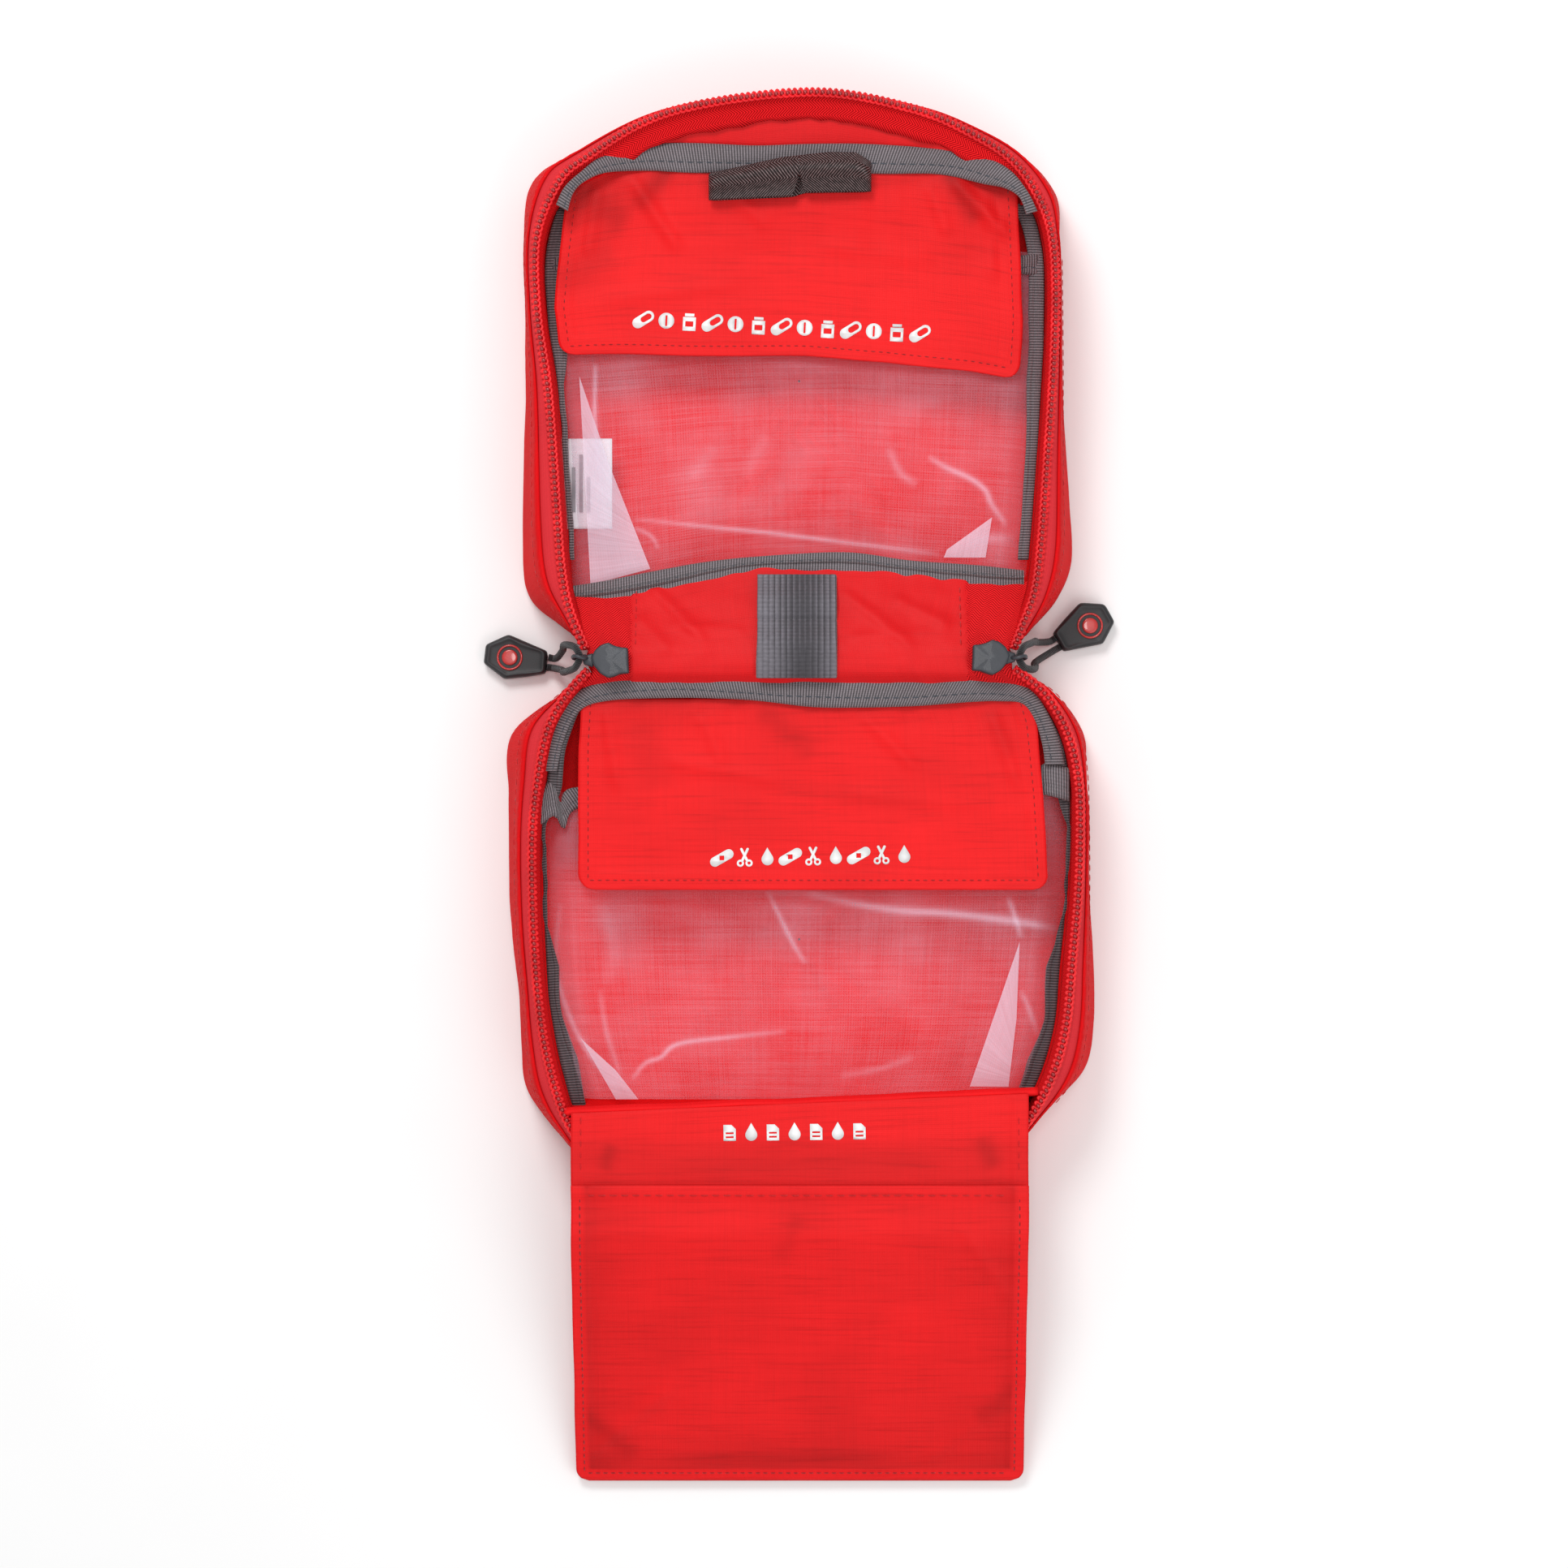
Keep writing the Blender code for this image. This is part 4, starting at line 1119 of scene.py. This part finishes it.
def stadium(x, y, length, radius, turn):
    """A capsule outline round (x, y), turned by an angle."""
    cos, sin = math.cos(turn), math.sin(turn)
    count = 10
    out = []
    for end in (1, -1):
        for k in range(count + 1):
            angle = math.pi * (k / count - 0.5) + (0 if end == 1 else math.pi)
            px, py = end * length / 2 + radius * math.cos(angle), radius * math.sin(angle)
            out.append((x + px * cos - py * sin, y + px * sin + py * cos))
    return out


def box_outline(x, y, w, h):
    return [(x - w / 2, y - h / 2), (x + w / 2, y - h / 2), (x + w / 2, y + h / 2), (x - w / 2, y + h / 2)]


def capsule_icon():
    return [[stadium(0, 0, 3.6, 1.5, 0.6), stadium(0.75, 0.5, 1.7, 0.8, 0.6)]]


def tablet_icon():
    return [[disc(0, 0, 2.2), box_outline(0, 0, 0.55, 3.0)]]


def bottle_icon():
    return [[box_outline(0, -0.6, 3.6, 3.8), box_outline(0, -0.6, 2.2, 1.5)],
            [box_outline(0, 1.9, 2.6, 0.8)]]


def plaster_icon():
    return [[stadium(0, 0, 4.4, 1.35, 0.5), box_outline(0, 0, 1.3, 1.3)]]


def scissors_icon():
    rings = [[disc(k * 1.2, -1.55, 1.0), disc(k * 1.2, -1.55, 0.45)] for k in (-1, 1)]
    return rings + [[stadium(k * 0.1, 0.75, 3.5, 0.36, math.pi / 2 - k * 0.45)] for k in (-1, 1)]


def leaflet_icon():
    page = [(-1.7, -2.2), (1.7, -2.2), (1.7, 1.0), (0.5, 2.2), (-1.7, 2.2)]
    return [[page, box_outline(0, -1.2, 2.2, 0.5), box_outline(0, -0.1, 2.2, 0.5)]]


def drop_icon():
    tip = [(0, 2.7)]
    low = [(1.65 * math.cos(a), -0.6 + 1.65 * math.sin(a)) for a in np.linspace(0.45, -math.pi - 0.45, 18)]
    return [[tip + low]]


def refine(loop):
    """The loop with more points on it, so that the print follows the cloth."""
    step = 0.5
    out = []
    for a, b in zip(loop, loop[1:] + loop[:1]):
        n = max(1, int(math.dist(a, b) / step))
        out += [(a[0] + (b[0] - a[0]) * k / n, a[1] + (b[1] - a[1]) * k / n) for k in range(n)]
    return out


def print_row(name, icons, start, end, z_of, body):
    """A row of plain printed pictograms laid on the cloth."""
    lift, scale = 0.10, 1.12
    verts, faces = [], []
    turn = math.atan2(end[1] - start[1], end[0] - start[0])
    cos, sin = scale * math.cos(turn), scale * math.sin(turn)
    for icon, (cx, cy) in zip(icons, np.linspace(start, end, len(icons))):
        for layer, shape in enumerate(icon()):
            placed = [[(cx + x * cos - y * sin, cy + x * sin + y * cos) for x, y in refine(loop)]
                      for loop in shape]
            triangles = tessellate_polygon([[Vector((x, y, 0)) for x, y in loop] for loop in placed])
            flat = [p for loop in placed for p in loop]
            base = len(verts)
            high = z_of(*np.array(flat).T) + lift + 0.02 * layer
            verts += [(x, y, z) for (x, y), z in zip(flat, high)]
            faces += [[base + i for i in triangle] for triangle in triangles]
    row = new_object(name, verts, faces, M["print"])
    thicken(row, 0.12, 0.0)
    return put(row, body, "label_white")


LID_FLAP_LEFT = [(0, -70), (8, -72.5), (25, -74.6), (44, -76.2), (56, -74.8), (63, -74.5)]
LID_FLAP_RIGHT = [(0, 67.5), (20, 68.6), (42, 69.5), (63, 68.4)]
LID_FLAP_S = (151.5, 91.0)
TRAY_FLAP_S = (-12.5, -71.8)
TRAY_FLAP_LEFT = [(0, -67.5), (15, -68.4), (40, -68.4), (60, -68.4)]
TRAY_FLAP_RIGHT = [(0, 71), (8, 73.4), (30, 75.6), (60, 77.2)]


def bend_flap(obj):
    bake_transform(obj)


def make_flap(name, edges, s_range, z_of, s_of, shade, seed, nodes):
    """A flap with a turned hem, shaded where it is gathered, and its thread rows."""
    xs, ss = flap_sheet(*edges, *s_range, 5.0)
    ss = s_of(xs, ss)
    z = z_of(xs, ss) + hem_height(xs, ss, xs[:, :1], xs[:, -1:], ss[-1:])
    flap = grid(name + "_flap_cloth", np.stack([xs, ss, z], axis=2), M["ripstop"])
    paint(flap, "shade", shade(xs, ss) + 0.16 * np.clip(waves(xs, ss * 1.6, 26, seed), 0, 1))
    thicken(flap, 0.6)
    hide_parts(*nodes)
    bend_flap(flap)
    bend_flap(flap_stitches(name + "_flap_thread", *edges, *s_range, z_of, s_of))


def lid_flap_shade(xs, ss):
    below = lid_band_s(xs) - ss
    folds = ((-41, 152, -50, 140, 3.0, 0.45), (-72, 146, -54, 135, 6.0, 0.45), (46, 151, 55, 136, 3.0, 0.5),
             (54, 150, 64, 144, 3.0, 0.3), (-76, 118, -58, 126, 5.0, 0.25), (-12, 152, -6, 142, 3.5, 0.15))
    return 0.55 * np.exp(-below / 5) + 0.10 * np.exp(-below / 20) + ridges(xs, ss, folds)


def tray_flap_shade(xs, ss):
    folds = ((-12, -16, 4, -30, 4.0, 0.30), (-50, -20, -44, -40, 6.0, 0.18), (-6, -40, 40, -46, 3.0, 0.16),
             (58, -16, 66, -30, 3.5, 0.22))
    return 0.40 * np.exp((ss + 13) / 4) + ridges(xs, ss, folds)


def make_flaps():
    make_flap("upper", (LID_FLAP_LEFT, LID_FLAP_RIGHT), LID_FLAP_S, lid_flap_z, lid_flap_s, lid_flap_shade,
              44.0, ("upper_flap_panel", "upper_flap_root"))
    print_row("upper_flap_print", [capsule_icon, tablet_icon, bottle_icon] * 4 + [capsule_icon],
              (-48.5, 105.4), (37.5, 101), lid_flap_z, "upper_flap")
    make_flap("lower", (TRAY_FLAP_LEFT, TRAY_FLAP_RIGHT), TRAY_FLAP_S, tray_flap_z, lambda xs, ss: ss,
              tray_flap_shade, 54.0, ("lower_flap_panel",))
    print_row("lower_flap_print", [plaster_icon, scissors_icon, drop_icon] * 3,
              (-24, -61.9), (32.5, -60.9), tray_flap_z, "lower_flap")


# ---------------------------------------------------------------- the lid's end, the spine and its strap

def make_lid_end(tray):
    """Bindings and lining at the lid's far end, and the care label on its floor."""
    body = BODY["upper"]
    top = [(-75.2, 140), (-72.6, 145.4), (-67.6, 150.2), (-60.5, 155.8), (-49.1, 159.5), (-31.5, 159.9),
           (-13.8, 159.2), (3.8, 159.7), (18.9, 159.7), (36.6, 158.7), (54.2, 156.6), (64.5, 151.3),
           (70.2, 144.6), (73.6, 138)]
    low = [(-71.5, 138), (-69.8, 143.6), (-66, 147.4), (-59.2, 150.3), (-46.6, 151.3), (-31.5, 150.6),
           (3.8, 150.6), (26.5, 150.3), (44.2, 150.1), (56.8, 146.9), (63.5, 145.2), (68, 142.2), (70, 137)]
    binding("upper_top_band", top, low, lambda x, s: 25.2 + 6.0 * soft_step((abs(x) - 46) / 25), body,
            "upper_top_binding", seed=22, wobble=0.35, count=200)
    keep = (np.abs(tray.rim[:, 0]) < 76) & (tray.rim[:, 1] > 141)
    outer = tray.inside([(2.4, 6.0, 27.0, 28.0)])[0][keep]
    inner_x = np.clip(outer[:, 0], -70, 69)
    inner = np.column_stack([inner_x, np.minimum(lid_band_s(inner_x), outer[:, 1]),
                             np.full(len(outer), 22.3)])
    share = np.linspace(0, 1, 16)[:, None, None]
    rows = outer[None] * (1 - share) + inner[None] * share
    swell = np.sin(math.pi * share[..., 0])
    rows[..., 2] += swell * (0.3 + 0.9 * waves(rows[..., 0], rows[..., 1] * 0.4, 13, 61.0))
    # The end lining takes the darker spine cloth, as painted shade at the lid's far end.
    lining = grid("upper_end_cloth", rows, M["spine"], flip=True)
    thicken(lining, 0.4)
    put(lining, body, "red_lining", "upper_end_lining")

    label_rows = [[(x, s, 15.2 + 0.5 * wave(x, s, 12, 3.0) - 3.2 * soft_step((-70 - x) / 9))
                   for s in np.linspace(40.8, 69, 24)] for x in np.linspace(-76, -58.5, 16)]
    label = grid("care_label_cloth", label_rows, M["label"])
    thicken(label, 0.25)
    put(label, body, "label_white", "care_label")
    bars = []
    for x, s0, s1 in ((-70.5, 46, 60), (-68.2, 46, 64), (-65.9, 46, 57)):
        bar = [[(x + w, s, 15.75 + 0.5 * wave(x + w, s, 12, 3.0) - 3.2 * soft_step((-70 - x - w) / 9))
                for s in np.linspace(s0, s1, 14)] for w in (-0.55, 0, 0.55)]
        bars.append(grid("bar", bar, M["label_ink"]))
    put(join("care_label_bars", bars), body, "black_rubber")


def bottom_band_s(x):
    """Where the lid's bottom binding covers the edge of the spine's lining."""
    return follow(x, ((-72, 19.5), (-56, 20), (-40, 22.5), (-26, 26), (-12, 28.6), (11, 28.6), (28, 27.6),
                      (47, 25.4), (64, 23.8), (72, 24)))


def spine_z(x, s):
    """Height of the cloth that runs from the lower tray's top edge over the spine and down into the lid."""
    x, s = np.broadcast_arrays(np.asarray(x, float), np.asarray(s, float))
    share = np.maximum(s - 1, 0) / (bottom_band_s(x) - 1)
    fall = 12.0 * (np.sqrt(share**2 + 0.01) - 0.1)
    return 33.7 - fall - 0.05 * np.minimum(s + 1, 0) ** 2


def cross_spine(obj, slot, *nodes):
    """Cloth over the fold, hiding the pieces it stands for; its mesh stays where it lies."""
    if nodes:
        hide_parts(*nodes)
    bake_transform(obj)


def make_spine(lid, tray):
    share = np.linspace(0, 1, 75)
    s_line = -9 + 34.5 * share
    left = np.array([lid.rim_x(max(s, 2.6), -1) if s > 0 else tray.rim_x(max(-s, 4.2), -1) for s in s_line])
    right = np.array([lid.rim_x(max(s, 2.6), 1) if s > 0 else tray.rim_x(max(-s, 4.2), 1) for s in s_line])
    left = np.convolve(np.pad(left, 3, "edge"), np.ones(7) / 7, "valid") + 1.4
    right = np.convolve(np.pad(right, 3, "edge"), np.ones(7) / 7, "valid") - 1.4
    t = np.linspace(0, 1, 150)
    xs = left[:, None] + (right - left)[:, None] * t[None, :]
    ss = -9 + (bottom_band_s(xs) + 9) * share[:, None]
    z = spine_z(xs, ss) + 0.45 * waves(xs, ss, 12, 71.0) + 0.25 * waves(xs, ss, 5, 72.0)
    z = z + ridges(xs, ss, ((-46, 22, -30, 6, 1.9, 0.9), (-40, 10, -18, 8, 1.9, 0.6),
                            (14, 20, 34, 4, 1.9, 0.9), (30, 18, 46, 10, 1.9, 0.8),
                            (-50, 12, -40, 2, 1.9, 0.6), (16, 6, 40, 8, 1.9, 0.5)))
    z = z - 0.5 * soft_step((np.abs(xs) - 51.6) / 0.6) - 1.4 * soft_step((-4 - ss) / 4)
    cloth = grid("spine_lining_cloth", np.stack([xs, ss, z], axis=2), M["spine"])
    cloth.data.materials.append(M["tape_flat"])
    for face in cloth.data.polygons:
        face.material_index = int(abs(face.center.x) > 0.0518)
    thicken(cloth, 0.45)
    cross_spine(cloth, "red_lining", "upper_spine_lining")
    for side, x in (("left", -50.6), ("right", 49.8)):
        line = np.array([(x, s, float(spine_z(x, s)) + 0.8) for s in np.linspace(3.5, 24, 40)])
        put(stitches(f"spine_{side}_thread", line, M["thread_red"], 2.0, 1.0, 0.16), BODY["upper"],
            "red_lining")

    # outer cloth of the spine, from one back panel up and over to the other
    profile = smooth([(-12.5, 0.5), (-11.2, 3.0), (-8.5, 12), (-5, 22), (-2, 29.5), (0, 31.2), (2, 29.5),
                      (5, 22), (8.5, 12), (11.2, 3.0), (12.5, 0.5)], 5)
    rows = []
    for s, height in profile:
        half = 66 - 0.4 * abs(s)
        xs = np.linspace(-half, half, 90)
        rows.append(np.column_stack([xs, s + 0.5 * waves(xs, xs * 0 + height, 16, 75.0),
                                     np.full(90, height)]))
    outer = grid("spine_outer_cloth", rows, M["wall"])
    thicken(outer, 0.7)
    cross_spine(outer, "red_ripstop", "lower_spine_wall", "upper_spine_wall")

    left_x, right_x = STRAP_X
    s_line = np.linspace(-6, 25.6, 100)
    xs = np.linspace(left_x, right_x, 13 * 10 + 1)
    depth = 0.16 + 0.20 * soft_step((6 - s_line) / 9)
    arch = 1.7 * np.exp(-((s_line - 18) / 4.0) ** 2) + 1.2 * np.exp(-((s_line - 5) / 3.5) ** 2)
    top_z = spine_z(0, s_line) + 1.35 + arch - 0.6 * np.exp(-((s_line - 11.9) / 0.8) ** 2)
    ribs = np.sin((xs - left_x) * 2 * math.pi / WEBBING_RIB)
    rows = [[(x, s, z + d * rib) for x, rib in zip(xs, ribs)] for s, z, d in zip(s_line, top_z, depth)]
    strap = grid("spine_strap_webbing", rows, M["webbing"])
    thicken(strap, 1.0)
    cross_spine(strap, "grey_webbing", "spine_strap_lower", "spine_strap_upper")
    zigzag = np.array([(x, 23.0, float(spine_z(x, 23.0)) + 2.35) for x in np.linspace(left_x + 1,
                                                                                      right_x - 1, 40)])
    put(stitches("spine_strap_thread", zigzag, M["thread_grey"], 1.5, 0.1, 0.17, zigzag=0.55),
        BODY["upper"], "grey_webbing")


# ---------------------------------------------------------------- fold-out info pocket

def info_z(s):
    """Height of the info pocket's back sheet, lying flat and then sloping down to the table."""
    s = np.asarray(s, float)
    past = np.maximum(INFO_CREASE - s, 0)
    drop = 0.4122 * (np.sqrt(past**2 + 9.0) - 3.0)
    return INFO_CREASE_Z + 0.5 - drop


def info_wrinkle(xs, ss):
    z = 0.4 * waves(xs, ss * 0.5, 34, 81.0) + 0.16 * waves(xs * 0.3, ss, 7, 82.0)
    z = z + ridges(xs, ss, ((-66, -250, -40, -228, 2.2, 0.7), (-64, -240, -30, -244, 2.2, 0.4),
                            (40, -252, 66, -232, 2.2, 0.5), (-20, -190, 30, -194, 2.2, 0.3),
                            (50, -176, 66, -200, 2.2, 0.4)))
    return z * soft_step((ss + 259.4) / 8)


def info_rows(s_from, s_to, lift, slant):
    """A sheet of the info pocket: its rounded foot corners, hemmed sides and lie over the rim."""
    s_line = np.linspace(s_from, s_to, 110)
    pull = corner_pull(s_from - s_line, s_from - s_to, 4.0)
    wobble = 0.35 * waves(s_line, 0 * s_line, 18, 83.0)
    left, right = -70.4 + pull + wobble, 70.6 - pull + wobble
    xs = left[:, None] + (right - left)[:, None] * np.linspace(0, 1, 150)[None, :]
    ss = np.repeat(s_line[:, None], 150, axis=1)
    ss = ss + slant * (xs / 70) * soft_step((ss - s_from + 16) / 16)
    z = info_z(ss) + lift + info_wrinkle(xs, ss)
    near = np.minimum(xs - left[:, None], right[:, None] - xs)
    low = -s_to + ss
    z = z + 0.35 * soft_step((5.5 - np.minimum(near, low)) / 0.8)
    return xs, ss, np.maximum(z, 0.5 + lift)


def make_info():
    xs, ss, z = info_rows(-137.4, -259.0, 0.0, slant=3.0)
    back = grid("info_back_cloth", np.stack([xs, ss, z], axis=2), M["ripstop"])
    shade = 0.22 * soft_step((-146 - ss) / 6) * soft_step((ss + 170) / 4)
    shade = shade + ridges(xs, ss, ((-58, -150, -60, -158, 2.5, 0.35), (56, -148, 60, -157, 3.0, 0.35),
                                    (-40, -158, 40, -155, 3.0, 0.15)))
    paint(back, "shade", shade)
    thicken(back, 0.5)
    xs, ss, z = info_rows(-162.6, -258.8, 1.15, slant=0.0)
    mouth = soft_step((ss + 170) / 6)
    z = z + mouth * 0.45 + 0.35 * soft_step((ss + 166.6) / 0.6)
    front = grid("info_front_cloth", np.stack([xs, ss, z], axis=2), M["ripstop"])
    near = np.minimum(xs - xs[:, :1], xs[:, -1:] - xs)
    inside = soft_step((near - 3.4) / 1.0) * soft_step((ss + 255.4) / 1.0)
    shade = inside * (0.34 * np.exp(-(near - 4) / 7) + 0.40 * np.exp(-(ss + 255) / 6))
    shade = shade + inside * 0.22 * np.clip(waves(xs, ss * 1.4, 30, 87.0), 0, 1)
    shade = shade + inside * 0.12 * np.clip(waves(xs * 0.2, ss, 4, 88.0), 0, 1)
    shade = shade + inside * ridges(xs, ss, ((0, -172, -6, -186, 3.0, 0.2),
                                             (-68, -236, -52, -250, 3.0, 0.3),
                                             (68, -228, 56, -238, 3.0, 0.3),
                                             (-40, -252, 30, -250, 2.5, 0.2)))
    paint(front, "shade", shade)
    thicken(front, 0.5)
    for obj, nodes, flat in ((back, ("info_label_strip", "info_back_panel"), (0.141, 0.127)),
                             (front, ("info_mouth_hem", "info_front_panel"), (0.141, 0.101))):
        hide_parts(*nodes)
        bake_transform(obj)
    threads_made = []
    sides = [[(x, s) for s in np.linspace(-166, -255.9, 80)] for x in (-67.6, 67.8)]
    foot = [(x, -256.2) for x in np.linspace(-67, 67.2, 80)]
    for line in sides + [foot]:
        line = np.array(line)
        z = info_z(line[:, 1]) + info_wrinkle(line[:, 0], line[:, 1]) + 1.15 + 0.42
        threads_made.append(stitches("row", np.column_stack([line, z]), M["thread_dark"], 1.5, 0.9, 0.2))
    put(join("info_pocket_thread", threads_made), "info_pocket", "red_ripstop")
    root_lines = [[(x, s) for s in np.linspace(-141, -160, 20)] for x in (-67.4, 67.6)]
    root_lines.append([(x, -165.6) for x in np.linspace(-66, 66, 80)])
    root_threads = []
    for k, line in enumerate(root_lines):
        line = np.array(line)
        lift = 0.42 if k < 2 else 2.02
        z = info_z(line[:, 1]) + info_wrinkle(line[:, 0], line[:, 1]) + lift
        root_threads.append(stitches("row", np.column_stack([line, z]), M["thread_red"], 2.3, 1.2, 0.16))
    put(join("info_root_thread", root_threads), "info_root", "red_ripstop")
    print_row("info_print", [leaflet_icon, drop_icon] * 3 + [leaflet_icon],
              (-21.5, -146.5), (18.5, -146), lambda x, s: info_z(s) + info_wrinkle(x, s), "info_root")

    profile = smooth([(-136.0, 32.2), (-137.2, 33.6), (-138.0, 31.5), (-138.2, 22), (-138.0, 10),
                      (-137.6, 4.2)], 6)
    rows = []
    for s, height in profile:
        xs = np.linspace(-72.5, 73.5, 110)
        shift = 3.0 * xs / 70 * soft_step((height - 12) / 18)
        rows.append(np.column_stack([xs, s + shift + 0.5 * waves(xs, xs * 0 + height, 18, 85.0),
                                     height + 0.3 * waves(xs, xs * 0, 14, 86.0)]))
    gusset = grid("info_gusset_cloth", rows, M["lining"], flip=True)
    thicken(gusset, 0.45)
    put(gusset, BODY["lower"], "red_lining", "lower_info_gusset")


# ---------------------------------------------------------------- sliders, pulls and hang loop

def moulded(name, outline, layers, mat):
    """A moulded body: the outline repeated at (height, inset) layers, capped and subdivided."""
    outline = np.array(outline, float)
    inwards = unit(outline.mean(axis=0) - outline)
    rows = [np.column_stack([outline + inwards * inset, np.full(len(outline), z)]) for z, inset in layers]
    obj = grid(name, rows, mat, closed_columns=True)
    cap_ends(obj, len(layers), len(outline))
    mod = obj.modifiers.new("round", "SUBSURF")
    mod.levels = mod.render_levels = 1
    apply_modifiers(obj)
    obj.data.shade_smooth()
    return obj


SLIDER_OUTLINE = [(64.1, -0.3), (63.0, 2.1), (61.1, 3.8), (58.8, 4.6), (56.9, 3.6), (55.0, 3.1),
                  (52.7, 2.9), (52.4, -5.0), (55.0, -5.2), (56.9, -6.0), (58.8, -6.5), (61.4, -5.0),
                  (63.3, -2.6)]
SLIDER_SHIFT = {"left": (0, 0), "right": (0.6, 0.9)}
GRIPS = {
    "left": ([(-99.6, -0.9), (-98.9, 5.0), (-91.7, 8.3), (-85, 5.4), (-79.2, 2.9), (-79.7, -4.2),
              (-86, -5.3), (-93.0, -6.0)], (-91.2, 0.9)),
    "right": ([(99.6, 12.2), (96.0, 5.2), (89.5, 3.9), (83.2, 2.7), (79.9, 8.6), (84.2, 13.6), (88.6, 18.3),
               (96.5, 17.8)], (91.7, 10.9))}


def make_sliders():
    for side, (dx, ds) in SLIDER_SHIFT.items():
        sign = -1 if side == "left" else 1
        outline = [(sign * (x + dx), s + ds) for x, s in SLIDER_OUTLINE][::sign]
        dense = even_ring(outline, 96)
        dense = (np.roll(dense, 1, axis=0) + 2 * dense + np.roll(dense, -1, axis=0)) / 4
        layers = ((32.5, 1.2), (32.5, 0.6), (32.7, 0.2), (33.1, 0.05), (34.2, 0.05), (34.4, 0.7),
                  (35.1, 0.7), (35.3, 0.05), (37.3, 0.0), (37.75, 0.12), (38.0, 0.45), (38.02, 0.7),
                  (38.05, 2.4), (38.1, 4.4))
        body = moulded(f"{side}_slider_shell", dense, layers, M["slider"])
        tab = [(sign * x, s + ds) for x, s in ((66.4, 0.6), (66.9, -0.9), (66.4, -2.4), (63.6, -3.2),
                                               (62.6, -0.9),
                                                (63.6, 1.4))][::sign]
        tab_layers = ((34.6, 0.6), (34.8, 0.1), (36.2, 0.1), (36.6, 0.6))
        tab_piece = moulded("tab", even_ring(tab, 36), tab_layers, M["slider"])
        put(join(f"{side}_slider_shell", [body, tab_piece]), BODY["lower"], "slider_metal",
            f"{side}_slider_body")
        ring = [(sign * (67.6 + 2.1 * math.cos(a)), 0.35 * math.sin(2 * a), 36 + 2.1 * math.sin(a))
                for a in np.arange(40) * 2 * math.pi / 40]
        bail = round_tube(f"{side}_bail_ring", ring, 0.62, M["slider"], 10, closed=True)
        put(bail, f"{side}_pull", "slider_metal", f"{side}_slider_bail")


def make_grips():
    for side, (outline, centre) in GRIPS.items():
        body = f"{side}_pull"
        layers = ((0.35, 2.2), (0.4, 0.8), (0.9, 0.1), (3.4, 0.0), (4.5, 0.25), (5.1, 0.9), (5.2, 1.5),
                  (4.8, 2.1), (4.75, 3.2))
        grip = moulded(f"{side}_grip_rubber", even_ring(outline, 48), layers, M["rubber"])
        put(grip, body, "black_rubber", f"{side}_pull_grip")
        badge_layers = ((4.6, 0.0), (5.2, 0.0), (5.4, 0.2), (5.45, 1.2))
        badge = moulded(f"{side}_badge_disc", disc(*centre, 2.5, 36), badge_layers, M["badge"])
        ring = [(centre[0] + 3.75 * math.cos(a), centre[1] + 3.75 * math.sin(a), 5.05)
                for a in np.arange(48) * 2 * math.pi / 48]
        rim = round_tube("rim", ring, 0.34, M["badge"], 8, closed=True)
        put(join(f"{side}_badge_disc", [badge, rim]), body, "badge_red", f"{side}_pull_badge")


def make_hang_loop():
    """A webbing loop sewn in under the binding: its two ends meet on top in a small open V."""
    pieces = []
    v = np.linspace(0, 1, 30)
    fold_radius, layer_low = 2.3, 26.0
    for side in (-1, 1):
        end_x, open_by = (-25.4, 2.2) if side < 0 else (19.6, 1.8)
        gap = open_by * np.clip(1 - v / 0.5, 0, 1)
        rows = []
        for k in range(71):
            if k < 36:
                start = side * gap
                x = start + (end_x - start) * k / 36
                z = np.full(len(v), layer_low + 2 * fold_radius)
                on_top = 1.0
            elif k < 50:
                angle = math.pi * (k - 36) / 14
                x = end_x + side * fold_radius * np.sin(angle) + 0 * v
                z = layer_low + fold_radius + fold_radius * np.cos(angle) + 0 * v
                on_top = math.cos(angle / 2) ** 2
            else:
                x = end_x * (1 - (k - 50) / 20) + 0 * v
                z = np.full(len(v), layer_low)
                on_top = 0.0
            low = follow(x, ((-28, 141.9), (-5.6, 142.9), (-2, 143.1), (1.8, 144.3), (9, 144.4),
                             (22, 144.6)))
            high = follow(x, ((-28, 149.6), (-16, 152.3), (-5.6, 154.6), (9, 156.3), (17.5, 156.2),
                              (22, 153.4)))
            crest = follow(x, ((-28, 0.66), (0, 0.66), (22, 0.6)))
            z = z + on_top * (2.7 * np.exp(-((v - crest) / 0.30) ** 2) - 1.9)
            z = z + 0.25 * waves(x, v * 9, 8, 92.0)
            rows.append(np.column_stack([x, low + (high - low) * v, z]))
        half = grid("half", rows, M["black_web"], flip=side < 0)
        pieces.append(thicken(half, 0.8, 0.0))
    loop = join("hang_loop_ribbon", pieces)
    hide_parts("hang_loop_webbing")
    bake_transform(loop)


make_camera()
for side, sign, entry, heading in (("left", -1, (-0.0793, -0.0006), math.radians(172.3)),
                                   ("right", 1, (0.0817, 0.0057), math.radians(29.5))):
    make_cord(side, sign, entry, heading)
make_floor()
make_lights()
lid = Tray("upper", LID_OUTLINE)
tray = Tray("lower", TRAY_OUTLINE)
for part in (lid, tray):
    make_outer_shell(part)
    make_zip(part)
    make_lining(part)
make_lid_pocket(lid)
make_tray_pocket(tray)
make_flaps()
make_lid_end(lid)
make_spine(lid, tray)
make_info()
make_sliders()
make_grips()
make_hang_loop()
